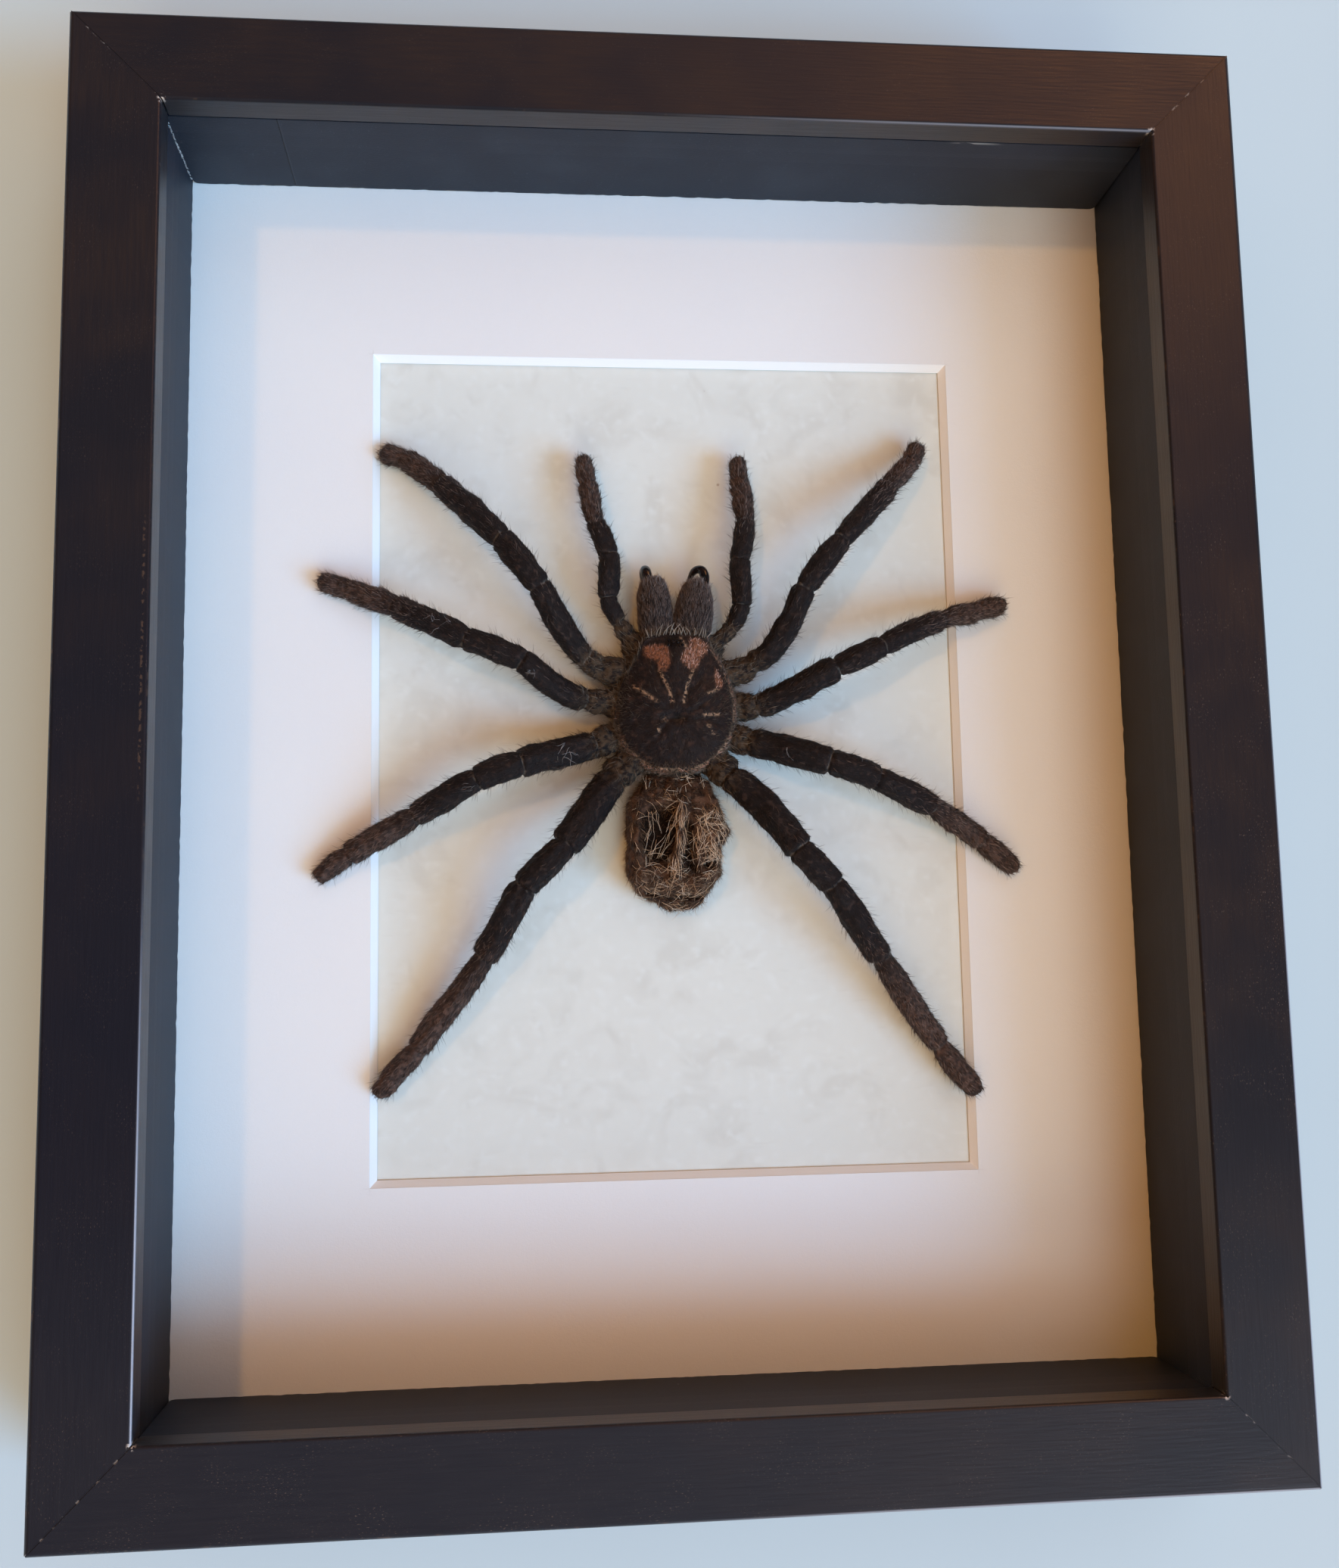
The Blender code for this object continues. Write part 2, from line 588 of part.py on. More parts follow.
def build_limb(limb):
    """One leg or palp from its hip outwards, set a gap off its coxa."""
    route = limb_route(limb)
    first = len(SEGMENT_FRACTIONS) + 1
    direction = (route[first + 1] - route[first]).normalized()
    points = route[first:]
    points[0] = route[first] + direction * GAP / 2
    mesh = tube_mesh(limb.name, points, limb_radii(limb.widths), limb.sides)
    return add_part(limb.name, mesh, LEG_FINISH, 50)


def coxa_mesh(limb):
    """The coxa that carries a limb, ending flat against the limb's hip."""
    route = limb_route(limb)
    first = len(SEGMENT_FRACTIONS) + 1
    direction = (route[first + 1] - route[first]).normalized()
    end = route[first] - direction * GAP / 2
    hip_radius = limb.widths[0] / 2 * JOINT_NECK
    points = [route[0], route[2], route[3], end - direction * hip_radius * MM * 0.3, end]
    middle = (COXA_ROOT_RADIUS + hip_radius) / 2
    radii = [COXA_ROOT_RADIUS, middle * 1.08, hip_radius * 1.3, hip_radius * 1.16, hip_radius]
    return tube_mesh(f"coxa of {limb.name}", points, radii, limb.sides)


def ellipsoid_mesh(name, centre, radii, segments, rings):
    """An ellipsoid above the paper, in millimetres."""
    bm = bmesh.new()
    bmesh.ops.create_uvsphere(bm, u_segments=segments, v_segments=rings, radius=1.0)
    for vert in bm.verts:
        vert.co = above_paper(*(c + r * v for c, r, v in zip(centre, radii, vert.co)))
    return mesh_from(bm, name)


def carapace_point(direction):
    """Where a point of the unit sphere goes on the carapace."""
    turn = math.atan2(direction.y, direction.x)
    out = math.hypot(direction.x, direction.y)
    power = CARAPACE_SQUARENESS
    reach = (abs(math.cos(turn)) ** power + abs(math.sin(turn)) ** power) ** (-1 / power)
    across = out * reach * math.cos(turn)
    along = out * reach * math.sin(turn)
    x = BODY_X + CARAPACE_HALF_WIDTH * across * (1 - 0.06 * abs(along))
    y = CARAPACE_Y + CARAPACE_HALF_LENGTH * along
    if direction.z < 0:
        return above_paper(x, y, CARAPACE_RIM + CARAPACE_UNDER * direction.z)
    lift = CARAPACE_RIM + (CARAPACE_TOP - CARAPACE_RIM) * direction.z ** 0.85
    lift += HEAD_RISE * math.exp(-((x - BODY_X) / 5.0) ** 2 - ((y - HEAD_Y) / 5.5) ** 2)
    lift -= FOVEA_DEPTH * math.exp(-((x - BODY_X) / 2.4) ** 2 - ((y - FOVEA_Y) / 1.6) ** 2)
    lift += GROOVE_DEPTH * math.cos(2 * GROOVE_PAIRS * turn) * out * (1 - out) * 4
    return above_paper(x, y, lift)


def carapace_mesh():
    """The domed shield over the legs' roots, with its raised head and its fovea."""
    bm = bmesh.new()
    bmesh.ops.create_uvsphere(bm, u_segments=40, v_segments=16, radius=1.0)
    for vert in bm.verts:
        vert.co = carapace_point(vert.co)
    return mesh_from(bm, "carapace")


def build_prosoma():
    """Carapace, sternum, coxae and pedicel, joined in one solid."""
    prosoma = add_part("prosoma", carapace_mesh(), CARAPACE_FINISH, 50)
    joined = [ellipsoid_mesh("sternum", (BODY_X, 9.5, 3.8), (8.0, 12.5, 3.4), 16, 8),
              ellipsoid_mesh("tubercle", (BODY_X, TUBERCLE_Y, 11.9), (1.9, 1.4, 1.5), 10, 6)]
    joined += [coxa_mesh(limb) for limb in LIMBS]
    points, radii = PEDICEL
    joined.append(tube_mesh("pedicel", [above_paper(*point) for point in points], radii, 8))
    for mesh in joined:
        combine(prosoma, add_cutter(mesh.name, mesh), "UNION")
    return prosoma


def inflated_cutter(name, mesh):
    """A copy of a closed mesh, grown by the gap, to cut a neighbour clear of it."""
    grown = mesh.copy()
    grown.materials.clear()
    for vert, normal in zip(grown.vertices, [n.vector.copy() for n in grown.vertex_normals]):
        vert.co += normal * GAP
    return add_cutter(name, grown)


def abdomen_mesh():
    """A coarse cage for the shrivelled, boxy abdomen."""
    bm = bmesh.new()
    bmesh.ops.create_cube(bm, size=2.0)
    bmesh.ops.subdivide_edges(bm, edges=bm.edges[:], cuts=3, use_grid_fill=True)
    middle = (ABDOMEN_FRONT + ABDOMEN_REAR) / 2
    half = (ABDOMEN_FRONT - ABDOMEN_REAR) / 2
    for vert in bm.verts:
        across, along, up = vert.co
        width = 1.0 - 0.14 * max(along, 0.0) ** 3 - 0.46 * max(-along, 0.0) ** 3.4
        top = 9.4 - 1.6 * max(along, 0.0) ** 2 - 3.4 * max(-along, 0.0) ** 3
        sag = 0.7 * math.cos(3 * math.pi * across) + 0.35 * math.sin(5.0 * along + 2.0 * across)
        lift = 0.3 + (top + sag - 0.3) * (up + 1) / 2 if up > -1 else 0.3
        x = ABDOMEN_X + ABDOMEN_HALF_WIDTH * across * width * (0.94 if up < -0.9 else 1.0)
        vert.co = above_paper(x, middle + half * along, lift)
    return mesh_from(bm, "abdomen")


def build_abdomen():
    """The abdomen, resting on the paper and cut clear of the pedicel."""
    abdomen = add_part("abdomen", abdomen_mesh(), ABDOMEN_FINISH, 60)
    soft = abdomen.modifiers.new("soft form", "SUBSURF")
    soft.levels = 1
    soft.render_levels = 1
    points, radii = PEDICEL
    pedicel = tube_mesh("pedicel socket", [above_paper(*point) for point in points], radii, 8)
    combine(abdomen, inflated_cutter("pedicel_socket", pedicel), "DIFFERENCE")
    return abdomen


def build_jaws():
    """Two chelicerae under the carapace's front edge, each with its fang."""
    neighbours = [inflated_cutter("carapace_clearance", carapace_mesh()),
                  inflated_cutter("sternum_clearance",
                                  ellipsoid_mesh("sternum", (BODY_X, 9.5, 3.8), (8.0, 12.5, 3.4), 16, 8))]
    palps = [limb for limb in LIMBS if limb.name.startswith("pedipalp")]
    neighbours += [inflated_cutter(f"{limb.name}_clearance", coxa_mesh(limb)) for limb in palps]
    for name, (points, radii) in CHELICERAE.items():
        mesh = tube_mesh(name, [above_paper(*point) for point in points], radii, LEG_SIDES)
        jaw = add_part(name, mesh, LEG_FINISH, 50)
        fang_name = name.replace("chelicera", "fang")
        fang_points, fang_radii = FANGS[fang_name]
        fang_route = [above_paper(*point) for point in fang_points]
        fang = add_part(fang_name, tube_mesh(fang_name, fang_route, fang_radii, PALP_SIDES),
                        FANG_FINISH, 50)
        combine(fang, inflated_cutter(f"{name}_clearance", mesh), "DIFFERENCE")
        for neighbour in neighbours:
            combine(jaw, neighbour, "DIFFERENCE")


def main():
    """Build the frame, what it holds and the specimen."""
    rails = build_rails()
    build_hanger(rails["top"])
    build_sheets()
    build_spacers()
    build_prosoma()
    build_abdomen()
    build_jaws()
    for limb in LIMBS:
        build_limb(limb)


clear_scene()
PARTS = new_collection("framed tarantula specimen")
CUTTERS = new_collection("cutters")
main()
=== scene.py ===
"""Looks of the framed tarantula specimen.

The box frame, its lining, mat, paper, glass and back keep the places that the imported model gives
them.  The specimen's skin and hair are modelled here, along the same limbs and over the same body.
A unit is a metre and +Z points out of the glass.  Places on the specimen are in millimetres: x and
y in the plane of the picture, and lift above the backing paper.
"""

from __future__ import annotations

import logging
import math
from dataclasses import dataclass, field
from enum import Enum
from typing import Callable, Sequence

import bpy
import numpy as np
from mathutils import Matrix, Vector, noise

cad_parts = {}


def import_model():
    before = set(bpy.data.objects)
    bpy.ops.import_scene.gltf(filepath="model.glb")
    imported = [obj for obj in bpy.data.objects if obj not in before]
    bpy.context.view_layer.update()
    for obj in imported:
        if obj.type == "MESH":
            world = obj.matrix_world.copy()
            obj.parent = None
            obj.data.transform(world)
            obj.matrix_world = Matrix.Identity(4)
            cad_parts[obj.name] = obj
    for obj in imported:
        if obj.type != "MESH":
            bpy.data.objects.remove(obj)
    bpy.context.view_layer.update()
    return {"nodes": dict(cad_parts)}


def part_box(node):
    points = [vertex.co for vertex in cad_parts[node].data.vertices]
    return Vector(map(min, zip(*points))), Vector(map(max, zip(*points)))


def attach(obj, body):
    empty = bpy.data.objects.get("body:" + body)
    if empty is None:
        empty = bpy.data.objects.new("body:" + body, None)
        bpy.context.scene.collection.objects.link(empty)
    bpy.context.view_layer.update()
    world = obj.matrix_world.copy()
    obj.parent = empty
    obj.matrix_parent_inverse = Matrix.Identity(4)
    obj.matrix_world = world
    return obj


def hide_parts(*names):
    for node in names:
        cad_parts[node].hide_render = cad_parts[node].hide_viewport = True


LOG = logging.getLogger("tarantula")
MM = 0.001
BODY = "root"
MERGE = 0.01
UP = np.array([0.0, 0.0, 1.0])
FORWARD = np.array([0.0, 1.0, 0.0])
LEVEL = np.array([1.0, 1.0, 0.0])

Obj = bpy.types.Object
Material = bpy.types.Material
Socket = bpy.types.NodeSocket
Array = np.ndarray
Rng = np.random.Generator
Colour = tuple[float, float, float]
Point = tuple[float, float, float]
Place = tuple[float, float]
Finishes = dict[str, Material]


class Axis(Enum):
    """The direction in the picture that a rail and its grain run along."""

    ACROSS = 0
    UPRIGHT = 1


# ---- Modelling by hand ---------------------------------------------------------------------------

def only(obj: Obj) -> None:
    """Select one object alone and make it active.

    Args:
        obj: The object to work on next.
    """
    bpy.ops.object.select_all(action="DESELECT")
    obj.select_set(True)
    bpy.context.view_layer.objects.active = obj


class Editing:
    """Edit mode on one object, all of it selected, for the length of a with block."""

    def __init__(self, obj: Obj) -> None:
        """Choose the mesh object to edit."""
        self.obj = obj

    def __enter__(self) -> Obj:
        """Enter edit mode and return the object."""
        only(self.obj)
        bpy.ops.object.mode_set(mode="EDIT")
        bpy.ops.mesh.select_mode(type="VERT")
        bpy.ops.mesh.select_all(action="SELECT")
        return self.obj

    def __exit__(self, *_: object) -> None:
        """Leave edit mode."""
        bpy.ops.object.mode_set(mode="OBJECT")


def add(operator: Callable[..., object], name: str, **settings: object) -> Obj:
    """Add one of Blender's primitives.

    Args:
        operator: The operator that adds it.
        name: The new object's name.
        settings: The operator's settings.

    Returns:
        The new object.
    """
    bpy.ops.object.select_all(action="DESELECT")
    operator(**settings)
    bpy.context.object.name = name
    return bpy.context.object


def apply_modifier(obj: Obj, kind: str, **settings: object) -> None:
    """Add one modifier with its settings and apply it.

    Args:
        obj: The mesh object.
        kind: Blender's name for the modifier's type.
        settings: The modifier's own properties.
    """
    modifier = obj.modifiers.new(kind.title(), kind)
    for name, value in settings.items():
        setattr(modifier, name, value)
    only(obj)
    bpy.ops.object.modifier_apply(modifier=modifier.name)


def smooth(obj: Obj, degrees: float = 180.0) -> None:
    """Shade an object smooth, with edges sharper than an angle in degrees kept."""
    only(obj)
    bpy.ops.object.shade_smooth_by_angle(angle=math.radians(degrees), keep_sharp_edges=False)


def vertices_of(obj: Obj) -> Array:
    """Read a mesh's vertices.

    Args:
        obj: The mesh object.

    Returns:
        One row of x, y and z in metres for each vertex.
    """
    places = np.empty(len(obj.data.vertices) * 3)
    obj.data.vertices.foreach_get("co", places)
    return places.reshape(-1, 3)


def set_vertices(obj: Obj, places: Array) -> None:
    """Move a mesh's vertices to rows of x, y and z in metres."""
    obj.data.vertices.foreach_set("co", places.astype(np.float32).ravel())
    obj.data.update()


def set_field(obj: Obj, name: str, values: Array) -> None:
    """Store one number at each vertex under a name, for materials and hair to read."""
    layer = obj.data.attributes.new(name, "FLOAT", "POINT")
    layer.data.foreach_set("value", values.astype(np.float32))


def roughness_at(points: Array, size: float, seed: float) -> Array:
    """Give smooth noise from -1 to 1 at each point, in lumps of a size in the points' unit."""
    shift = Vector((seed, 1.7 * seed, -0.6 * seed))
    return np.array([noise.noise(Vector(point) / size + shift) for point in points])


def settle(obj: Obj) -> None:
    """Put an object's place, turn and scale into its mesh, so that it ends at the origin."""
    only(obj)
    bpy.ops.object.transform_apply(location=True, rotation=True, scale=True)


def join(pieces: Sequence[Obj], name: str) -> Obj:
    """Join objects in one.

    Args:
        pieces: The objects, of which the first stays.
        name: The joined object's name.

    Returns:
        The joined object.
    """
    only(pieces[0])
    for piece in pieces[1:]:
        piece.select_set(True)
    bpy.ops.object.join()
    pieces[0].name = name
    return pieces[0]


def mount(piece: Obj, finish: Material, slot: str, *replaced: str) -> Obj:
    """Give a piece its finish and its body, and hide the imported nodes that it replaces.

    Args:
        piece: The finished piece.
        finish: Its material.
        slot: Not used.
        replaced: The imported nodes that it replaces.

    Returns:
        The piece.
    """
    piece.data.materials.append(finish)
    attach(piece, BODY)
    if replaced:
        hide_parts(*replaced)
    LOG.info("%s: %d faces", piece.name, len(piece.data.polygons))
    return piece


# ---- Material nodes ------------------------------------------------------------------------------

def math_node(operation: str, swapped: bool = False) -> Callable[..., Number]:
    """Write a method of Number that adds one Math node.

    Args:
        operation: The node's operation.
        swapped: Put the number after the other term.

    Returns:
        The method.
    """
    def method(self: Number, *others: Number | float) -> Number:
        """Add the node and return its result."""
        terms = (*others, self) if swapped else (self, *others)
        made = self.surface.node("Math", {"operation": operation}, dict(enumerate(terms)))
        return Number(self.surface, made.outputs[0])
    return method


class Number:
    """A number in a material, on which Python's operators add Math nodes."""

    __add__ = __radd__ = math_node("ADD")
    __sub__ = math_node("SUBTRACT")
    __rsub__ = math_node("SUBTRACT", swapped=True)
    __mul__ = __rmul__ = math_node("MULTIPLY")
    __truediv__ = math_node("DIVIDE")
    __pow__ = math_node("POWER")
    __abs__ = math_node("ABSOLUTE")
    larger = math_node("MAXIMUM")
    smaller = math_node("MINIMUM")
    part = math_node("FRACT")

    def __init__(self, surface: Surface, socket: Socket) -> None:
        """Wrap a socket.

        Args:
            surface: The material that the socket is in.
            socket: The socket that gives the number.
        """
        self.surface = surface
        self.socket = socket

    def between(self, low: float, high: float) -> Number:
        """Rise smoothly from 0 at one value to 1 at another.

        Args:
            low: Where the result is 0.
            high: Where the result is 1.

        Returns:
            The eased number.
        """
        made = self.surface.node("MapRange", {"interpolation_type": "SMOOTHSTEP"},
                                 {"Value": self, "From Min": low, "From Max": high})
        return Number(self.surface, made.outputs["Result"])

    def near(self, centre: float, width: float) -> Number:
        """Give 1 at a value, falling to 0 at a distance from it."""
        return 1.0 - abs(self - centre).between(0.0, width)


Layer = tuple[object, Number]


class Surface:
    """A material while it is made."""

    def __init__(self, name: str) -> None:
        """Start an empty material.

        Args:
            name: The material's name.
        """
        self.material = bpy.data.materials.new(name)
        self.material.use_nodes = True
        self.tree = self.material.node_tree
        self.tree.nodes.clear()
        metres = self.node("TexCoord").outputs["Object"]
        scaled = self.node("VectorMath", {"operation": "SCALE"}, {0: metres, "Scale": 1.0 / MM})
        self.place = scaled.outputs[0]

    def node(self, kind: str, settings: dict | None = None,
             sockets: dict | None = None) -> bpy.types.Node:
        """Add a node.

        Args:
            kind: The node's type, without its prefix.
            settings: Its own properties, or a colour ramp's stops.
            sockets: Values or links for its inputs.

        Returns:
            The new node.
        """
        made = self.tree.nodes.new("ShaderNode" + kind)
        for name, setting in (settings or {}).items():
            if name == "stops":
                self._set_stops(made.color_ramp, setting)
            else:
                setattr(made, name, setting)
        for name, value in (sockets or {}).items():
            self._feed(made.inputs[name], value)
        return made

    @staticmethod
    def _set_stops(ramp: bpy.types.ColorRamp, stops: Sequence[tuple[float, Colour]]) -> None:
        """Set a ramp's stops.

        Args:
            ramp: The colour ramp.
            stops: Each stop's position and colour.
        """
        while len(ramp.elements) < len(stops):
            ramp.elements.new(1.0)
        for element, (position, colour) in zip(ramp.elements, stops):
            element.position = position
            element.color = (*colour, 1.0)

    def _feed(self, socket: Socket, value: object) -> None:
        """Link a socket, or set its value.

        Args:
            socket: The input.
            value: A Number, a socket, a colour, a vector or a plain number.
        """
        if isinstance(value, Number):
            value = value.socket
        if isinstance(value, Socket):
            self.tree.links.new(value, socket)
        elif socket.type == "RGBA" and len(value) == 3:
            socket.default_value = (*value, 1.0)
        else:
            socket.default_value = value

    def axes(self) -> tuple[Number, Number, Number]:
        """Split the place on the object, in millimetres."""
        split = self.node("SeparateXYZ", None, {0: self.place})
        return tuple(Number(self, split.outputs[index]) for index in range(3))

    def field(self, name: str) -> Number:
        """Read the number that the mesh's vertices store under a name."""
        return Number(self, self.node("Attribute", {"attribute_name": name}).outputs["Fac"])

    def mottle(self, size: float, detail: float = 2.0, stretch: Point = (1.0, 1.0, 1.0),
               twist: float = 0.0) -> Number:
        """Add noise.

        Args:
            size: The width of one lump in millimetres.
            detail: How many finer layers it has.
            stretch: How much longer a lump is along each axis.
            twist: How far the pattern is pushed about.

        Returns:
            A number from 0 to 1, mostly near 0.5.
        """
        scale = tuple(1.0 / (size * longer) for longer in stretch)
        mapped = self.node("Mapping", None, {"Vector": self.place, "Scale": scale})
        settings = {"Scale": 1.0, "Detail": detail, "Roughness": 0.5, "Distortion": twist}
        made = self.node("TexNoise", None, {"Vector": mapped.outputs[0], **settings})
        return Number(self, made.outputs["Fac"])

    def specks(self, spacing: float, radius: float, soft: float = 0.1) -> Number:
        """Scatter round specks of mixed strength.

        Args:
            spacing: The mean distance between them in millimetres.
            radius: A speck's radius in millimetres.
            soft: The width of a speck's edge, as a share of its radius.

        Returns:
            1 in a speck and 0 outside.
        """
        mapped = self.node("Mapping", None, {"Vector": self.place, "Scale": (1 / spacing,) * 3})
        cells = self.node("TexVoronoi", None, {"Vector": mapped.outputs[0], "Scale": 1.0})
        distance = Number(self, cells.outputs["Distance"])
        tint = self.node("SeparateColor", None, {0: cells.outputs["Color"]})
        size = Number(self, tint.outputs[0]) ** 3.0 * (radius / spacing)
        return 1.0 - (distance - size).between(-soft * radius / spacing, soft * radius / spacing)

    def layers(self, base: object, *coats: Layer) -> Socket:
        """Lay colours over one another.

        Args:
            base: The lowest colour.
            coats: Each further colour, and how much of it shows.

        Returns:
            The mixed colour.
        """
        for colour, share in coats:
            mixed = self.node("Mix", {"data_type": "RGBA", "clamp_factor": True},
                              {0: share, 6: base, 7: colour})
            base = mixed.outputs[2]
        return base

    def bump(self, height: Number, depth: float) -> Socket:
        """Turn a height from 0 to 1 into a normal, where 1 is a real depth in millimetres."""
        return self.node("Bump", None, {"Height": height, "Distance": depth * MM}).outputs[0]

    def finish(self, colour: object, **sockets: object) -> Material:
        """Close the material with a Principled shader.

        Args:
            colour: Its base colour.
            sockets: The shader's other inputs, with underscores for spaces in their names.

        Returns:
            The material.
        """
        inputs = {name.replace("_", " "): value for name, value in sockets.items()}
        shader = self.node("BsdfPrincipled", None, {"Base Color": colour, **inputs})
        return self.close(shader.outputs[0])

    def close(self, shader: Socket) -> Material:
        """Link a shader's socket to the output, and return the material."""
        self.node("OutputMaterial", None, {"Surface": shader})
        return self.material


# ---- Finishes of the frame and what lines it -----------------------------------------------------

@dataclass(frozen=True)
class StainedWood:
    """Black-brown satin wood, pale open grain, rubbed edges, and painted highlights, reflection and
    sheen.
    """

    axis: Axis
    inner: float
    outer: float
    corner: Place
    face: float
    stain: Colour = (0.0125, 0.0122, 0.0150)
    ruddy: Colour = (0.0230, 0.0160, 0.0148)
    # painted reflection: the cool blue-black laid over the wood towards the lower left
    blue: Colour = (0.0090, 0.0105, 0.0165)
    # painted sheen: the lighter grey laid over the rails towards the bottom
    haze: Colour = (0.034, 0.033, 0.035)
    pore: Colour = (0.200, 0.142, 0.105)
    rub: Colour = (0.22, 0.125, 0.070)
    # painted highlight: the pale line laid along a few arrises
    painted_highlight: Colour = (0.42, 0.43, 0.46)
    chip: Colour = (0.46, 0.40, 0.34)
    grain: float = 14.0
    longest_pore: float = 2.6

    def make(self) -> Material:
        """Make the material.

        Returns:
            The material, with its grain along the rail.
        """
        surface = Surface(f"stained_wood_{self.axis.name.lower()}")
        x, y, z = surface.axes()
        level = self.axis is Axis.ACROSS
        run = (self.grain, 1.0, 1.0) if level else (1.0, self.grain, 1.0)
        streak = surface.mottle(0.75, 3.0, run)
        lines = surface.mottle(0.55, 2.0, run)
        pores = surface.mottle(0.20, 1.0, tuple(min(part, self.longest_pore) for part in run))
        dust = surface.mottle(0.30, 1.0).between(0.70, 0.74)
        on_face = z.between(self.face - 0.9, self.face - 0.2)
        warm = surface.mottle(26.0).between(0.35, 0.65) * (0.6 + 0.4 * streak.between(0.35, 0.7))
        dash = pores.between(0.645, 0.74) * surface.mottle(9.0).between(0.40, 0.66)
        # the pale grain shows more towards the lower right
        pale_grain_to_lower_right = 0.35 + 0.65 * (x - y).between(-90.0, 120.0)
        past_x, past_y = abs(x) - self.corner[0], abs(y) - self.corner[1]
        joint = (past_x - past_y).near(0.0, 0.42) * on_face
        from_corner = (past_x ** 2.0 + past_y ** 2.0) ** 0.5
        chipped = (1.0 - from_corner.between(0.3, 1.0)) * surface.mottle(0.7).between(0.50, 0.56)
        colour = surface.layers(
            self.stain,
            (self.ruddy, warm),
            # painted reflection: bluer and darker towards the lower left
            (self.blue, (0.0 - x - y).between(20.0, 190.0) * 0.8),
            # painted sheen: lighter grey towards the bottom
            (self.haze, (0.0 - y).between(60.0, 134.0) * (0.20 + 0.2 * streak)),
            (self.pore, dash * (0.12 + 0.34 * on_face) * pale_grain_to_lower_right),
            (self.chip, joint * surface.mottle(1.5, 3.0).between(0.56, 0.64) * 0.35),
            (self.chip, chipped * z.between(self.face - 2.0, self.face - 0.5)),
            *self._rubs_and_painted_highlights(surface, abs(y) if level else abs(x)))
        sheen = 0.30 + 0.12 * streak + 0.10 * surface.mottle(11.0)
        return surface.finish(colour, Roughness=sheen + 0.15 * dust, Specular_IOR_Level=0.55,
                              Normal=surface.bump(lines * 0.8 + dust * 0.2, 0.05))

    def _rubs_and_painted_highlights(self, surface: Surface, across: Number) -> list[Layer]:
        """Rub the stain off a few edges, and paint pale highlights along a few arrises.

        Args:
            surface: The material.
            across: How far a point is from the middle, across the rail.

        Returns:
            The layers of the worn edges and of the painted highlights.
        """
        x, y, z = surface.axes()
        near_face = z.near(self.face - 0.2, 0.7)
        inner = across.near(self.inner + 0.15, 0.26) * near_face
        outer = across.near(self.outer - 0.25, 0.50) * z.near(self.face - 0.25, 0.9)
        if self.axis is Axis.ACROSS:
            freckles = []
            # painted highlights: pale lines on the top rail's inner arris and the bottom rail's
            # outer arris
            line = inner * y.between(0.0, 1.0) * x.between(-10.0, 60.0) * 0.35
            rim = outer * (0.0 - y).between(0.0, 1.0) * x.between(-15.0, 60.0)
        else:
            left = (0.0 - x).between(0.0, 1.0)
            # painted highlights: pale lines on the left rail's inner arris and the right rail's
            # outer arris
            line = inner * left * (0.0 - y).between(10.0, 100.0)
            rim = outer * x.between(0.0, 1.0) * (0.0 - y).between(-40.0, 70.0)
            specks = (across.near(self.inner + 1.25, 0.40) * left * y.between(-14.0, -6.0)
                      * (1.0 - y.between(36.0, 44.0)) * surface.mottle(0.8).between(0.50, 0.58))
            freckles = [(self.rub, specks * near_face * 0.3)]
        scuffed = surface.mottle(3.0).between(0.60, 0.70)
        return [*freckles, (self.painted_highlight, line), (self.painted_highlight, rim * 0.75),
                (self.rub, (outer * 0.25 + inner * 0.15) * scuffed)]


@dataclass(frozen=True)
class WrappedBoard:
    """The dark lining of the box: blue-black paper on board, with a seam, dust and a few scuffs."""

    low: float
    high: float
    wall: float
    seam: float = -77.3
    scuff: Place = (64.0, 36.0)
    wrap: Colour = (0.0128, 0.0168, 0.0270)
    dust: Colour = (0.052, 0.060, 0.076)
    core: Colour = (0.55, 0.52, 0.47)
    gap: Colour = (0.004, 0.004, 0.005)

    def make(self) -> Material:
        """Make the material.

        Returns:
            The material.
        """
        surface = Surface("wrapped_board")
        x, y, z = surface.axes()
        haze = surface.mottle(16.0, 3.0)
        weave = surface.mottle(0.28, 1.0, (3.0, 3.0, 0.6))
        lint = surface.mottle(0.22, 1.0, (1.0, 1.0, 3.0)).between(0.70, 0.75)
        worn = z.near(self.low, 0.35) * surface.mottle(1.6, 3.0).between(0.50, 0.58)
        on_top = y.between(self.wall - 1.0, self.wall - 0.5)
        scratches = surface.mottle(0.5, 2.0, (6.0, 1.0, 1.0)).between(0.45, 0.55)
        scraped = x.near(self.scuff[0], 7.0) * z.near(self.scuff[1], 0.5) * scratches * on_top
        seam = x.near(self.seam, 0.22) * on_top
        lip = x.near(self.seam + 0.28, 0.20) * on_top
        colour = surface.layers(
            self.wrap,
            (self.dust, haze.between(0.35, 0.8) * 0.35),
            (self.core, surface.specks(6.5, 0.20) * 0.45),
            (self.dust, lint * surface.mottle(8.0).between(0.35, 0.6) * 0.9),
            (self.core, worn * 0.5), (self.core, scraped * 0.6),
            (self.gap, seam * 0.9), (self.dust, lip * 0.5))
        return surface.finish(colour, Roughness=0.50 + 0.16 * haze, Specular_IOR_Level=0.35,
                              Normal=surface.bump(weave * 0.4 + haze * 0.4 - seam * 0.8, 0.08))


